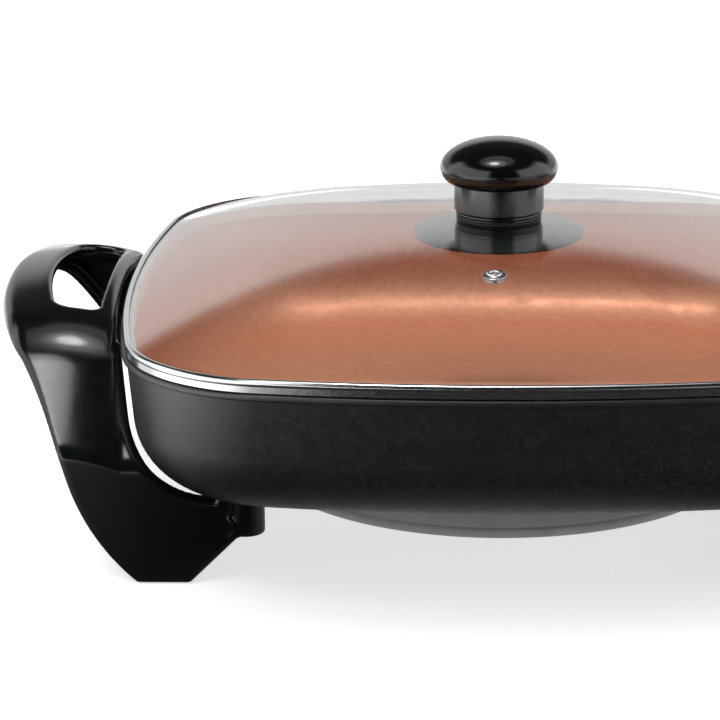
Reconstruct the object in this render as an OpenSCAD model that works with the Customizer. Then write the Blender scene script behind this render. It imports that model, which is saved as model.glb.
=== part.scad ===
// Square electric skillet with two handles that are also its legs, a lift-off glass lid
// and a plug-in heat control. Millimetres, +Z up, origin on the table under the pan's centre.
// The front of the skillet faces -Y, and the heat control plugs in on the +X side.

/* [Outline] */
// Step of the outline: the pan's half width is 14 of these beyond the corner radius
outline_step = 6.2; // [6:0.05:6.4]
// Radius of the outline's corners at the rim
corner_r = 63.9; // [60:0.1:68]
// Height of the lid's rim above the table
rim_height = 97.5; // [94:0.5:110]

/* [Pan] */
// Depth of the pan outside, from its rim to its base
pan_depth = 52.6; // [48:0.1:55]
// Slope of the pan's wall from upright, degrees
pan_draft = 5; // [2:0.5:8]
// Outside radius of the bend between wall and base
pan_bend = 28.5; // [22:0.5:32]
// Thickness of the pan's wall
pan_wall = 3; // [2.5:0.1:4]
// Thickness of the pan's floor
pan_floor = 4.5; // [3.5:0.1:6]
// How far the pan's lip stands out from its wall
lip_out = 1.4; // [0.8:0.1:1.8]
// Height of the pan's lip
lip_height = 2.4; // [1.5:0.1:4]
// Gap between the pan's rim and the lid's rim
lid_gap = 0.3; // [0.2:0.05:0.5]

/* [Lid] */
// How far the lid's rim stands back from the pan's rim
lid_setback = 0.7; // [0.3:0.1:1.5]
// Radius of the bead along the top of the lid's rim
bead_r = 1.6; // [1.4:0.05:1.9]
// Height of the lid's rim, bead to foot
lid_band = 5.3; // [5:0.1:6]
// Thickness of the lid rim's sheet steel
band_t = 0.7; // [0.5:0.05:0.8]
// Depth of the rim's locating skirt inside the pan
skirt_depth = 5.5; // [3:0.1:8]
// How far the locating skirt stands in from the rim's outer face
skirt_in = 4.9; // [4.5:0.1:6]
// Thickness of the lid's glass
glass_t = 3.5; // [3:0.1:3.6]
// Rise of the glass dome from its edge to its middle
dome_rise = 25.9; // [20:0.1:32]
// Fullness of the dome: 2 is a plain arc, more is fuller at the edge
dome_power = 2.5; // [2:0.05:3]
// Distance of the steam vent in front of the middle
vent_ahead = 73.4; // [60:0.1:100]
// Sideways place of the steam vent
vent_x = -2.4; // [-10:0.1:10]
// Radius of the vent eyelet's flange
vent_flange_r = 4.7; // [4.2:0.1:6]
// Radius of the vent eyelet's barrel
vent_barrel_r = 3.1; // [2.5:0.1:3.6]
// Radius of the steam hole
vent_hole_r = 1.5; // [1:0.1:2]

/* [Knob] */
// Radius of the knob's cap at its widest
cap_r = 23.7; // [22:0.1:28]
// Height of the cap above its widest line
cap_crown = 12.2; // [8:0.1:14]
// Height of the cap below its widest line
cap_belly = 4.4; // [3.5:0.1:6]
// Radius of the knob's neck
neck_r = 18.1; // [16:0.1:19.5]
// Height of the knob's neck
neck_height = 15.4; // [13:0.1:20]
// Radius of the soft ring under the neck
seat_ring_r = 17.1; // [15:0.1:18]
// Thickness of the soft ring
seat_ring_t = 1.5; // [1:0.1:2.5]
// Radius of the black plate under the glass
plate_r = 34.4; // [28:0.1:40]
// Thickness of the plate under the glass
plate_t = 1.2; // [0.8:0.1:1.6]
// How far the plate's edge hangs below its middle
plate_drop = 1.6; // [1:0.1:2.5]
// Radius of the knob screw's shank
knob_screw_r = 2; // [1.8:0.1:2.5]

/* [Handles] */
// How far each grip reaches past the pan's rim
grip_out = 49.8; // [46:0.1:60]
// Height of the arch's crown above the lid's rim
crown_rise = 5.2; // [4:0.1:8]
// Radius of the arch's gentle crown, front to back
crown_r = 260; // [200:5:400]
// Run of the shoulder's slope, front to back
shoulder_run = 30; // [26:0.5:36]
// How far the top falls from its middle to the edge beside the lid
inner_fall = 3.5; // [1:0.1:4]
// How far the top falls from its middle to its outer edge
outer_fall = 2.5; // [1:0.1:4]
// Radius of the grip's bow, seen from above
bow_r = 205; // [180:5:260]
// How far the legs' outer faces stand past the centres of the outline's corners
leg_shift = 15.4; // [12:0.1:18]
// Depth of the knee, where the shoulder's slope meets the leg, below the crown
knee_drop = 49; // [46:0.5:52]
// Radius of the bend between crown and shoulder
shoulder_r = 26; // [16:0.5:28]
// Radius of the bend between shoulder and leg
knee_r = 12; // [8:0.5:16]
// Thickness of the handle's face
face_t = 5; // [3.5:0.1:6]
// Thickness of the stiffening flanges
flange_t = 4; // [3:0.1:5]
// Depth of the stiffening flanges
flange_d = 14; // [10:0.5:20]
// Height of the grip's upright outer wall, below the crown
grip_wall = 9.5; // [8:0.5:12]
// How far the leg draws in below the grip's outer wall
hip_in = 14.8; // [12:0.1:18]
// Depth of that place below the crown
hip_drop = 19.4; // [17:0.1:22]
// How far the foot's outer end stands back from the pan's rim
foot_back = 10.8; // [6:0.1:16]
// Length of the foot
foot_length = 20; // [14:0.1:26]
// How far the leg's curved lower edge reaches past the pan's rim
calf_out = 15.9; // [12:0.1:20]
// Height above the pan's base where the leg's curved lower edge ends
calf_rise = 2.7; // [0:0.1:6]
// Radius of the leg's curved lower edge
calf_r = 86; // [70:1:120]
// How far the leg's edge leans out from there to its shin
shin_out = 2.5; // [1:0.1:4]
// Rise from there to the shin
shin_rise = 8.7; // [6:0.1:12]
// Radius of the hollow curve from the shin up to the hip
thigh_r = 140; // [100:5:300]
// Gap between the handle and the pan's wall
handle_gap = 2; // [1:0.1:3]
// Gap between the handle and the pan's base
base_gap = 4.3; // [2:0.1:5]
// Gap between the handle and the lid's rim
lid_room = 2.4; // [1.5:0.1:4]
// Width of the hand hole, as a share of the handle's width outside the inner bar
hole_share = 0.532; // [0.48:0.005:0.56]
// Width of the inner bar beside the lid
inner_bar = 5.4; // [4:0.1:8]
// Half the length of the hand hole
hole_half = 46.2; // [40:0.1:48]
// Radius of the bow of the hand hole's outer side
hole_bow = 175; // [150:5:260]
// Radius of the hand hole's outer corners, as a share of its width
hole_round = 0.4; // [0.3:0.01:0.42]
// Radius of the hand hole's corners beside the lid, as a share of its width
hole_inner_round = 0.22; // [0.12:0.01:0.24]
// How far the screw bosses stand past the centres of the outline's corners
boss_shift = 17.5; // [15:0.1:19]
// Radius of the screw bosses
boss_r = 7.5; // [6.5:0.1:8]
// Length of the screw bosses below the pan's base
boss_length = 20.1; // [17:0.1:22]
// How far the leg's plate ends short of the boss's axis
plate_short = 3.9; // [2:0.1:5]
// Height above the boss's lower end where the plate's ramp starts
ramp_low = 5.8; // [3:0.1:8]
// Rise of the ramp
ramp_rise = 6; // [3:0.1:7]
// Run of the ramp
ramp_run = 4.5; // [2:0.1:6]
// Radius of the pan's studs that the handle screws enter
stud_r = 3.4; // [3:0.1:3.8]
// Length of the pan's studs
stud_length = 8; // [6:0.1:10]
// Radius of the handle screws' shanks
screw_r = 1.8; // [1.5:0.1:2.1]
// Radius of the handle screws' heads
screw_head_r = 4; // [3.5:0.1:4.4]
// Height of the handle screws' heads
screw_head_h = 2.6; // [2:0.1:3.2]

/* [Heater] */
// Radius of the ring that the heating element is bent to
element_ring_r = 72; // [64:0.5:78]
// Radius of the heating element's sheath
element_r = 3.6; // [3:0.1:4.2]
// Distance of each terminal from the centre line
terminal_y = 14; // [12:0.5:17]
// Depth of the terminal pins below the pan's base
terminal_drop = 13.3; // [12.5:0.1:15]
// Radius of the terminal pins
pin_r = 2.4; // [2:0.1:2.8]
// How far the terminal pins end inside the guard
pin_in = 3; // [1:0.1:6]
// Radius of the insulators round the pins
insulator_r = 4.6; // [4:0.1:5]
// Radius of the bottom cover at its lower edge
cover_r = 101.2; // [95:0.1:106]
// Depth of the bottom cover below the pan's base
cover_depth = 19.6; // [18:0.1:23]
// Radius of the bottom cover's lower bend
cover_bend = 6; // [4:0.5:9]
// How far the cover's wall spreads towards its top
cover_spread = 4; // [2:0.5:6]
// Thickness of the bottom cover
cover_t = 0.8; // [0.6:0.1:1.2]
// Height of the temperature probe above the terminal pins
probe_rise = 3.5; // [2:0.1:5]
// Radius of the probe's sleeve under the pan
sleeve_r = 4.4; // [4:0.1:5]
// Length of the probe's sleeve
sleeve_length = 56; // [44:1:64]
// Room between the bottom cover's wall and the socket's guard
guard_room = 2.4; // [1:0.1:4]
// Length of the socket's guard
guard_length = 15.4; // [14:0.1:20]
// Width of the socket's guard beyond each terminal
guard_side = 12; // [10.5:0.5:16]
// Thickness of the guard's walls
guard_t = 1.6; // [1.2:0.1:2]
// Gap between the guard's floor and the contact block
guard_floor_gap = 0.4; // [0.3:0.1:2]
// Gap between the guard's back wall and the contact block
guard_back_gap = 2.3; // [1:0.1:3]

/* [Heat control] */
// Gap between the guard and the control's face
control_gap = 1.5; // [0.8:0.1:3]
// Length of the control's housing
control_length = 75; // [70:0.5:78]
// Width of the control's housing beyond each terminal
control_side = 13; // [13:0.5:18]
// Height of the housing's underside, as a share of the terminal pins' height
control_lift = 0.35; // [0.3:0.01:0.4]
// Height of the housing's low front part above the terminal pins
nose_rise = 11; // [10:0.1:11.5]
// Height of the housing's top above the terminal pins
deck_rise = 24; // [21:0.5:30]
// Length of the housing's low front part, with its step
nose_length = 36.5; // [34:0.5:42]
// Thickness of the housing's walls
shell_t = 2.2; // [1.8:0.1:2.8]
// Depth of the seam between the housing's halves below the terminal pins
seam_drop = 4; // [2:0.1:6]
// Radius of the temperature probe
probe_r = 3.2; // [2.6:0.1:3.6]
// How far the temperature probe's tip stays from the end of its sleeve
probe_room = 8; // [4:1:18]
// Radial clearance between the probe and its sleeve
probe_fit = 0.3; // [0.2:0.05:0.4]
// Thickness of the contact sleeves' walls
contact_wall = 1.5; // [1:0.1:1.8]
// Radial clearance between the terminal pins and the contact sleeves
contact_fit = 0.3; // [0.2:0.05:0.4]
// Thickness of the contact block round the sleeves
carrier_wall = 1.8; // [1.5:0.1:2.5]
// Depth of the contact block inside the housing
carrier_in = 9; // [8:0.5:11]
// Height of the lip that keeps the contact block in its window
carrier_lip = 1; // [0.8:0.1:1.5]
// How far the contact sleeves stand out of the contact block's back
contact_tail = 5; // [3:0.5:7]
// How far the probe stands out of the contact block's back
probe_tail = 7; // [6:0.5:9]
// Radius of the housing's corners
control_corner = 6; // [5:0.1:6]
// Radius of the housing's screw posts
post_r = 3.6; // [3.2:0.1:4]
// Radius of the housing screws' shanks
control_screw_r = 1.3; // [1:0.1:1.5]
// Radius of the housing screws' heads
control_head_r = 2.6; // [2.2:0.1:2.9]
// Radius of the dial
dial_r = 15; // [13:0.5:16.5]
// Height of the dial
dial_h = 8; // [6:0.5:10]
// Middle of the dial, from the housing's outer end
dial_in = 18.5; // [17:0.5:21]
// Gap between the dial and the deck
dial_gap = 0.4; // [0.3:0.1:0.8]
// Radius of the dial's shaft
shaft_r = 3; // [2.5:0.1:3.5]
// Radial clearance round the dial's shaft
shaft_fit = 0.1; // [0.05:0.05:0.3]
// Radius of the indicator lens
lens_r = 3.2; // [2.5:0.1:4]
// Radius of the power cord that the gland takes
cord_r = 3.5; // [3:0.1:4]
// How far the cord gland stands out of the housing
gland_out = 4.9; // [3:0.1:6]
// Height of the cord gland above the terminal pins
gland_rise = 4; // [1:0.5:10]

/* [Hidden] */
$fn = 96;

// Facets of small rounds and of the long bows
small_fn = 48;
side_fn = 720;

// The outline's arcs: four bowed sides, each tangent to two corners along the line from the
// side's centre to the corner's centre, which runs 84 steps along and 13 steps across
run_steps = 84;
rise_steps = 13;
span_steps = 85;
corner_c = rise_steps * outline_step;
side_shift = (run_steps - rise_steps) * outline_step;
side_r = corner_r + span_steps * outline_step;
pan_half = side_r - side_shift;
side_half_angle = atan2(rise_steps, run_steps);

// The dome's rings, each a share of the way from its middle to its edge
shares = [1, 0.965, 0.92, 0.86, 0.78, 0.69, 0.58, 0.46, 0.32, 0.17];

// Radial clearance of a shaft, pin or screw in its bore, and the gap between resting faces
slip_fit = 0.03;
rest_gap = 0.1;

// Wherever two solids are cut, the cutter runs this far past the face
past = 1;

// Heights
pan_rim = rim_height - lid_band - lid_gap;
base_z = pan_rim - pan_depth;
floor_top = base_z + pan_floor;
rim_foot = rim_height - lid_band;
glass_edge_z = rim_foot + band_t + rest_gap;
glass_mid_z = glass_edge_z + glass_t + dome(shares[len(shares) - 1]);
neck_z = glass_mid_z + seat_ring_t;
cap_z = neck_z + neck_height;
widest_z = cap_z + cap_belly;
plate_top = glass_mid_z - glass_t - rest_gap;
crown_z = rim_height + crown_rise;
calf_z = base_z + calf_rise;
boss_z = base_z - boss_length;
cover_z = base_z - cover_depth;
terminal_z = base_z - terminal_drop;
contact_r = pin_r + contact_fit + contact_wall;
carrier_z0 = terminal_z - contact_r - carrier_wall - 0.5;
guard_z = carrier_z0 - guard_floor_gap - guard_t;
sleeve_z = terminal_z + probe_rise;
control_z = control_lift * terminal_z;
seam_z = terminal_z - seam_drop;
nose_top = terminal_z + nose_rise;
deck_top = terminal_z + deck_rise;
gland_z = terminal_z + gland_rise;
tall = 1.5 * rim_height;

// Reaches
lid_half = pan_half - lid_setback;
glass_setback = 1.8;
glass_half = lid_half - glass_setback;
grip_reach = pan_half + grip_out;
leg_y = corner_c + leg_shift;
foot_reach = pan_half - foot_back;
calf_reach = pan_half + calf_out;
boss_x = corner_c + boss_shift;
boss_y = leg_y - boss_r;
guard_start = cover_r + guard_room;
guard_end = guard_start + guard_length;
guard_half = terminal_y + guard_side;
control_half = terminal_y + control_side;
control_start = guard_end + control_gap;
control_end = control_start + control_length;
deck_start = control_start + nose_length;
dial_x = control_end - dial_in;

// ---------------------------------------------------------------- shared geometry

// Points of an arc about c, from angle a0 to a1
function arc(c, r, a0, a1, n) = [for (i = [0:n])
    let (a = a0 + (a1 - a0) * i / n) c + r * [cos(a), sin(a)]];

// The same points the other way round
function reversed(list) = [for (i = [len(list) - 1:-1:0]) list[i]];

// The shorter way round for a turn of d degrees
function short_way(d) = d > 180 ? d - 360 : d < -180 ? d + 360 : d;

// Direction of b seen from a, degrees
function heading(a, b) = atan2(b[1] - a[1], b[0] - a[0]);

// Points of the fillet of radius r that rounds the corner p between o and q
function fillet(o, p, q, r, n = 8) = let (
    u = (o - p) / norm(o - p), v = (q - p) / norm(q - p),
    half = acos(u * v) / 2,
    c = p + (u + v) / norm(u + v) * r / sin(half),
    a0 = heading(c, p + u * r / tan(half)),
    a1 = heading(c, p + v * r / tan(half))
) arc(c, r, a0, a0 + short_way(a1 - a0), n);

// Points of the arc of radius r from p to q that bulges to the left of the line from p to q
function bulge(p, q, r, n = 12) = let (
    d = q - p,
    c = (p + q) / 2 + [d[1], -d[0]] / norm(d) * sqrt(r * r - d * d / 4),
    a0 = heading(c, p)
) arc(c, r, a0, a0 + short_way(heading(c, q) - a0), n);

// Sweeps a profile once round the outline; the profile's X is 0 on the pan's outer edge.
// Each piece is cut by a wedge from its own centre, as wide as the outline's steps say
module sweep_outline() {
    far = 1.2 * outline_step;
    near = 0.3 * outline_step;
    spare = 1;
    for (quarter = [0:3]) rotate(90 * quarter) {
        translate([-side_shift, 0, 0]) intersection() {
            rotate_extrude(angle = 2 * (side_half_angle + spare),
                           start = -side_half_angle - spare, $fn = side_fn)
                translate([side_r, 0]) children();
            wedge([[0, 0], [run_steps * far, -rise_steps * far], [run_steps * far, rise_steps * far]]);
        }
        translate([corner_c, corner_c, 0]) intersection() {
            rotate_extrude(angle = 90, start = 0, $fn = 144) translate([corner_r, 0]) children();
            wedge([[0, 0], [run_steps * near, rise_steps * near],
                   [run_steps * near, run_steps * near], [rise_steps * near, run_steps * near]]);
        }
    }
}
module wedge(points) {
    translate([0, 0, -past]) linear_extrude(tall + 2 * past) polygon(points);
}
// How far a swept profile reaches inwards, and the square that fills the middle
sweep_rest = 4;
sweep_in = corner_r - sweep_rest;
core_out = 18;
core_half = corner_c + core_out;

// Where the pan's wall, moved out by g, stands at height z
function wall_x(g, z) = -lip_out - (pan_rim - z) * tan(pan_draft) + g / cos(pan_draft);

// The bend from a base at height z_low up to the pan's wall moved out by g
function bend_line(g, z_low) = let (
    r = pan_bend + g, z = z_low + r
) arc([wall_x(g, z) - r / cos(pan_draft), z], r, -90, -pan_draft, 10);

// Room for the pan with its gaps, and above the rim for the lid out to the distance given
module pan_room(out) {
    low = base_z - base_gap;
    shelf = pan_rim - lip_height - 3;
    sweep_outline() polygon(concat(
        [[-sweep_in, low]], bend_line(handle_gap, low),
        [[wall_x(handle_gap, shelf), shelf], [out, shelf], [out, tall], [-sweep_in, tall]]));
    block([-core_half, -core_half, low], [core_half, core_half, tall]);
}

// Upright cylinder from z0 to z1 at p
module post(p, r, z0, z1) {
    translate([p[0], p[1], z0]) cylinder(r = r, h = z1 - z0);
}

// Cylinder along +X from x0 to x1
module rod_x(r, x0, x1, y, z) {
    translate([x0, y, z]) rotate([0, 90, 0]) cylinder(r = r, h = x1 - x0);
}

// Block between two opposite corners
module block(a, b) {
    translate(a) cube(b - a);
}

// True sphere of radius r
module ball(r) {
    rotate_extrude() intersection() {
        circle(r, $fn = small_fn);
        translate([0, -r]) square([r, 2 * r]);
    }
}

// Crossed slots of a screw's head, cut up into the face at height z
module cross_slots(p, z, w, l, d) {
    for (a = [0, 90]) translate([p[0], p[1], z]) rotate(a) cube([l, w, 2 * d], center = true);
}

// ---------------------------------------------------------------- pan

boss_places = [for (sx = [-1, 1], sy = [-1, 1]) [sx * boss_x, sy * boss_y]];
cover_boss_r = 5;
cover_boss_h = 3;
inner_lip_r = 0.8;

module pan() {
    lip_low = pan_rim - lip_height;
    inner = bend_line(-pan_wall, floor_top);
    inner_end = [wall_x(-pan_wall, pan_rim), pan_rim];
    color([0.09, 0.09, 0.10]) difference() {
        union() {
            sweep_outline() polygon(concat(
                [[-sweep_in, base_z]], bend_line(0, base_z),
                [[wall_x(0, lip_low), lip_low]],
                fillet([-lip_out, lip_low], [0, lip_low], [0, pan_rim], 0.6, 4),
                fillet([0, lip_low], [0, pan_rim], [-lip_out, pan_rim], 0.9, 5),
                fillet([0, pan_rim], inner_end, inner[len(inner) - 1], inner_lip_r, 4),
                reversed(inner), [[-sweep_in, floor_top]]));
            block([-core_half, -core_half, base_z], [core_half, core_half, floor_top]);
            for (p = boss_places) post(p, stud_r, base_z - stud_length, base_z + past);
            post([0, 0], cover_boss_r, base_z - cover_boss_h, base_z + past);
        }
        for (p = boss_places)
            post(p, screw_r + slip_fit, base_z - stud_length - past, base_z + 1.5);
    }
}

// ---------------------------------------------------------------- heater under the pan

// The element lies this far below the base, and its bends are swaged this much fatter
element_drop = 0.15;
element_z = base_z - element_r - element_drop;
swage_r = element_r + 0.15;
tail_low = cover_r - 5.2;
tail_end = tail_low - 8;
tail_tip = tail_low + 4;
ring_end_angle = asin(terminal_y / element_ring_r);

module heating_element() {
    ring_end = element_ring_r * cos(ring_end_angle);
    drop = [tail_low - tail_end, 0, terminal_z - element_z];
    color([0.35, 0.34, 0.34]) translate([0, 0, element_z]) {
        rotate(ring_end_angle) rotate_extrude(angle = 360 - 2 * ring_end_angle)
            translate([element_ring_r, 0]) circle(element_r, $fn = small_fn);
        for (s = [-1, 1]) translate([0, s * terminal_y, 0]) {
            translate([ring_end, 0, 0]) ball(swage_r);
            rod_x(element_r, ring_end, tail_end, 0, 0);
            translate([tail_end, 0, 0]) {
                ball(swage_r);
                rotate([0, atan2(drop[0], drop[2]), 0]) cylinder(r = element_r, h = norm(drop));
                translate(drop) ball(swage_r);
            }
            rod_x(element_r, tail_low, tail_tip, 0, drop[2]);
        }
    }
}

clip_angles = [60, 180, 300];
clip_w = 9;
clip_t = 1.2;
clip_foot = 8;
// Room beside the sheath, which bends away from the straight clip
clip_room = 0.2;

module element_clips() {
    inside = element_r + clip_room;
    outside = inside + clip_t;
    low = element_z - element_r;
    color([0.7, 0.7, 0.7]) for (a = clip_angles) rotate(a) translate([element_ring_r, clip_w / 2, 0])
        rotate([90, 0, 0]) linear_extrude(clip_w) polygon([
            [-outside - clip_foot, base_z], [-outside - clip_foot, base_z - clip_t],
            [-outside, base_z - clip_t], [-outside, low - clip_t], [outside, low - clip_t],
            [outside, base_z - clip_t], [outside + clip_foot, base_z - clip_t],
            [outside + clip_foot, base_z], [inside, base_z], [inside, low], [-inside, low],
            [-inside, base_z]]);
}

// The cover's socket notch starts this far inside its wall, and this far below the element
notch_in = 16;
notch_room = 1.2;
cover_flange = 5;

module bottom_cover() {
    wall_top_r = cover_r + cover_spread;
    color([0.62, 0.63, 0.64]) difference() {
        union() {
            rotate_extrude() difference() {
                cover_section(0, base_z);
                cover_section(cover_t, base_z + past);
                translate([-past, 0]) square([past + cover_stud_r + 0.7, base_z]);
            }
            rotate_extrude() translate([wall_top_r - cover_t, base_z - cover_t])
                square([cover_flange + cover_t, cover_t]);
        }
        block([cover_r - notch_in, -guard_half, terminal_z - element_r - notch_room],
              [wall_top_r + cover_flange + past, guard_half, base_z + past]);
    }
}

// Half section of the cover's inside, shrunk by t
module cover_section(t, top) {
    r = cover_bend - t;
    foot_x = cover_r - cover_bend;
    polygon([[0, cover_z + t], [foot_x, cover_z + t], [foot_x + r, cover_z + cover_bend],
             [cover_r + cover_spread - t, top], [0, top]]);
    translate([foot_x, cover_z + cover_bend]) circle(r);
}

insulator_step = 3;
insulator_end = tail_tip + insulator_step + 2;

module terminal_insulators() {
    color([0.92, 0.90, 0.85]) for (s = [-1, 1]) difference() {
        union() {
            rod_x(insulator_r, tail_tip, tail_tip + insulator_step, s * terminal_y, terminal_z);
            rod_x(insulator_r - 1, tail_tip + insulator_step, insulator_end,
                  s * terminal_y, terminal_z);
        }
        rod_x(pin_r + slip_fit, tail_tip - past, insulator_end + past, s * terminal_y, terminal_z);
    }
}

module terminal_pins() {
    pin_end = guard_end - pin_in;
    nose = 1.5;
    color([0.78, 0.76, 0.70]) for (s = [-1, 1]) {
        rod_x(pin_r, tail_tip, pin_end - nose, s * terminal_y, terminal_z);
        translate([pin_end - nose, s * terminal_y, terminal_z]) rotate([0, 90, 0])
            cylinder(r1 = pin_r, r2 = pin_r - 0.9, h = nose);
    }
}

module socket_guard() {
    top = base_z - rest_gap;
    insulator_room = 0.4;
    color([0.16, 0.16, 0.17]) difference() {
        block([guard_start, -guard_half, guard_z], [guard_end, guard_half, top]);
        block([guard_start + guard_t, guard_t - guard_half, guard_z + guard_t],
              [guard_end + past, guard_half - guard_t, top - guard_t]);
        for (s = [-1, 1])
            rod_x(insulator_r - 1 + insulator_room, guard_start - past, guard_start + guard_t + past,
                  s * terminal_y, terminal_z);
        rod_x(sleeve_r + rest_gap, guard_start - past, guard_start + guard_t + past, 0, sleeve_z);
    }
}

sleeve_end = guard_start + 0.4;
sleeve_start = sleeve_end - sleeve_length;
sleeve_cap = 2;
sleeve_rib = 2.5;

module probe_sleeve() {
    color([0.72, 0.72, 0.73]) difference() {
        union() {
            rod_x(sleeve_r, sleeve_start, sleeve_end, 0, sleeve_z);
            block([sleeve_start + sleeve_cap, -sleeve_rib, sleeve_z],
                  [guard_start - past, sleeve_rib, base_z]);
        }
        rod_x(probe_r + probe_fit, sleeve_start + sleeve_cap, sleeve_end + past, 0, sleeve_z);
    }
}

cover_stud_r = 2.5;
nut_r = 4.6;
nut_h = 3.2;
stud_tip = 1.5;

module cover_stud() {
    color([0.75, 0.75, 0.76])
        post([0, 0], cover_stud_r, cover_z - nut_h - stud_tip, base_z - cover_boss_h);
}

module cover_nut() {
    color([0.75, 0.75, 0.76]) difference() {
        translate([0, 0, cover_z - nut_h]) cylinder(r = nut_r, h = nut_h, $fn = 6);
        post([0, 0], cover_stud_r + slip_fit, cover_z - nut_h - past, cover_z + past);
    }
}

// ---------------------------------------------------------------- handles

hole_in = lid_half + lid_room + inner_bar;
hole_w = hole_share * (grip_reach - hole_in);
inner_edge = lid_half + lid_room;
crown_half = leg_y - shoulder_run;
shoulder_drop = knee_drop - crown_half * crown_half / (2 * crown_r);
shoulder_angle = atan2(shoulder_drop, shoulder_run);
hip_edge_r = 12;
wall_low_r = 3.6;
wall_top_r = 4.6;

// Height of the crown at y, when the whole arch is thinned by t
function crown_at(y, t) = crown_z - t - y * y / (2 * crown_r);

// Side view of the arch, thinned by t: upright legs, straight shoulders and a gentle crown
function arch(t) = let (
    slope = tan(shoulder_angle),
    y = leg_y - t,
    knee = [y, crown_z - knee_drop - t * (1 / cos(shoulder_angle) - slope)],
    crest_y = crown_r * (slope - sqrt(slope * slope
        - 2 * (knee[1] + y * slope - (crown_z - t)) / crown_r)),
    crest = [crest_y, crown_at(crest_y, t)],
    r = max(shoulder_r - t, 5),
    meet_y = crest_y - r * tan((shoulder_angle - atan(crest_y / crown_r)) / 2),
    steps = 7,
    half = concat(
        [[y, -past]],
        fillet([y, 0], knee, crest, max(knee_r - t, 5), 5),
        fillet(knee, crest, [meet_y, crown_at(meet_y, t)], r, 6),
        [for (i = [1:steps]) let (u = meet_y * (1 - i / steps)) [u, crown_at(u, t)]])
) concat(half, [for (p = reversed(half)) if (p[0] > 0) [-p[0], p[1]]]);

// Points of the crowned top in the front view, falling to both edges
function crown_line(n = 5) = let (
    mid = -(grip_reach + inner_edge) / 2, half = (grip_reach - inner_edge) / 2
) [for (i = [1 - n:n]) let (u = i / n)
    [mid + u * half, crown_z - (u < 0 ? outer_fall : inner_fall) * u * u]];

// Front view of the left handle's outline
function handle_front() = let (
    calf = [-calf_reach, calf_z],
    shin = [-calf_reach - shin_out, calf_z + shin_rise],
    hip = [hip_in - grip_reach, crown_z - hip_drop],
    low = [-grip_reach, crown_z - grip_wall],
    top = [-grip_reach, crown_z - outer_fall],
    thigh = reversed(bulge(hip, shin, thigh_r, 8)),
    crown = crown_line(),
    plate_end = -boss_x - plate_short,
    ramp_z = boss_z + ramp_low
) concat(
    bulge([-foot_reach, 0], calf, calf_r),
    [for (i = [0:len(thigh) - 2]) thigh[i]],
    fillet(thigh[len(thigh) - 2], hip, low, hip_edge_r, 4),
    fillet(hip, low, top, wall_low_r, 4),
    fillet(low, top, crown[0], wall_top_r, 6),
    crown,
    [[plate_end - ramp_run, crown_z - inner_fall],
     [plate_end - ramp_run, ramp_z + ramp_rise], [plate_end, ramp_z]],
    fillet([plate_end, ramp_z], [plate_end, boss_z], [-foot_reach, boss_z], 2.5, 4),
    [[foot_length - foot_reach, 0]]);

// Plan of the left handle's outer edge: a bow
function handle_plan() = let (reach = leg_y + past, n = 24) concat(
    [for (i = [-n:n]) let (y = i / n * reach) [-grip_reach + y * y / (2 * bow_r), y]],
    [[0, reach], [0, -reach]]);

// Solid of a side-view outline, running along X
module along_x(points) {
    translate([-grip_reach - past, 0, 0]) rotate([90, 0, 90])
        linear_extrude(grip_reach) polygon(points);
}

// The handle's whole form, solid
module handle_form() {
    intersection() {
        translate([0, leg_y + past, 0]) rotate([90, 0, 0])
            linear_extrude(2 * (leg_y + past)) polygon(handle_front());
        translate([0, 0, -past]) linear_extrude(tall) polygon(handle_plan());
    }
}

module hand_hole() {
    x0 = -hole_in - hole_w;
    x1 = -hole_in;
    bow_half = hole_half - 10;
    bow_x = x0 + bow_half * bow_half / (2 * hole_bow);
    corner = [x0 + hole_half * hole_half / (2 * hole_bow), hole_half];
    r0 = hole_round * hole_w;
    r1 = hole_inner_round * hole_w;
    half = concat(
        [for (i = [0:5]) let (y = i / 5 * bow_half) [x0 + y * y / (2 * hole_bow), y]],
        fillet([bow_x, bow_half], corner, [x1, hole_half], r0),
        fillet(corner, [x1, hole_half], [x1, 0], r1));
    translate([0, 0, crown_z / 2]) linear_extrude(tall)
        polygon(concat(half, [for (p = reversed(half)) if (p[1] > 0) [p[0], -p[1]]]));
}

// The leg's peg that rests against the pan's base, beside the screw boss
peg_near = 7.7;
peg_far = 10.4;
screw_room = 0.3;
head_room = 0.4;
head_sink = 0.6;

module left_handle() {
    difference() {
        union() {
            difference() {
                intersection() {
                    handle_form();
                    union() {
                        difference() {
                            along_x(arch(0));
                            along_x(arch(face_t));
                        }
                        difference() {
                            along_x(arch(0));
                            along_x(arch(flange_d));
                            translate([flange_t, 0, 0]) handle_form();
                        }
                    }
                }
                pan_room(lid_room - lid_setback);
                hand_hole();
            }
            for (s = [-1, 1]) {
                post([-boss_x, s * boss_y], boss_r, boss_z, base_z);
                mirror([0, s < 0 ? 1 : 0])
                    block([-boss_x - peg_far, leg_y - face_t, base_z - base_gap - past],
                          [-boss_x - peg_near, leg_y, base_z]);
            }
        }
        for (s = [-1, 1]) {
            p = [-boss_x, s * boss_y];
            post(p, stud_r + screw_room, base_z - stud_length - screw_room, base_z + past);
            post(p, screw_r + screw_room, boss_z - past, base_z);
            post(p, screw_head_r + head_room, boss_z - past, boss_z + head_sink + screw_head_h);
        }
    }
}

module handle_left() {
    color([0.05, 0.05, 0.055]) left_handle();
}

module handle_right() {
    color([0.05, 0.05, 0.055]) mirror([1, 0, 0]) left_handle();
}

module handle_screws() {
    head_z = boss_z + head_sink;
    color([0.7, 0.7, 0.72]) for (p = boss_places) difference() {
        union() {
            post(p, screw_head_r, head_z, head_z + screw_head_h);
            post(p, screw_r, head_z, base_z - 2);
        }
        cross_slots(p, head_z, 0.9, 4.4, 1.2);
    }
}

// ---------------------------------------------------------------- lid

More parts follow.
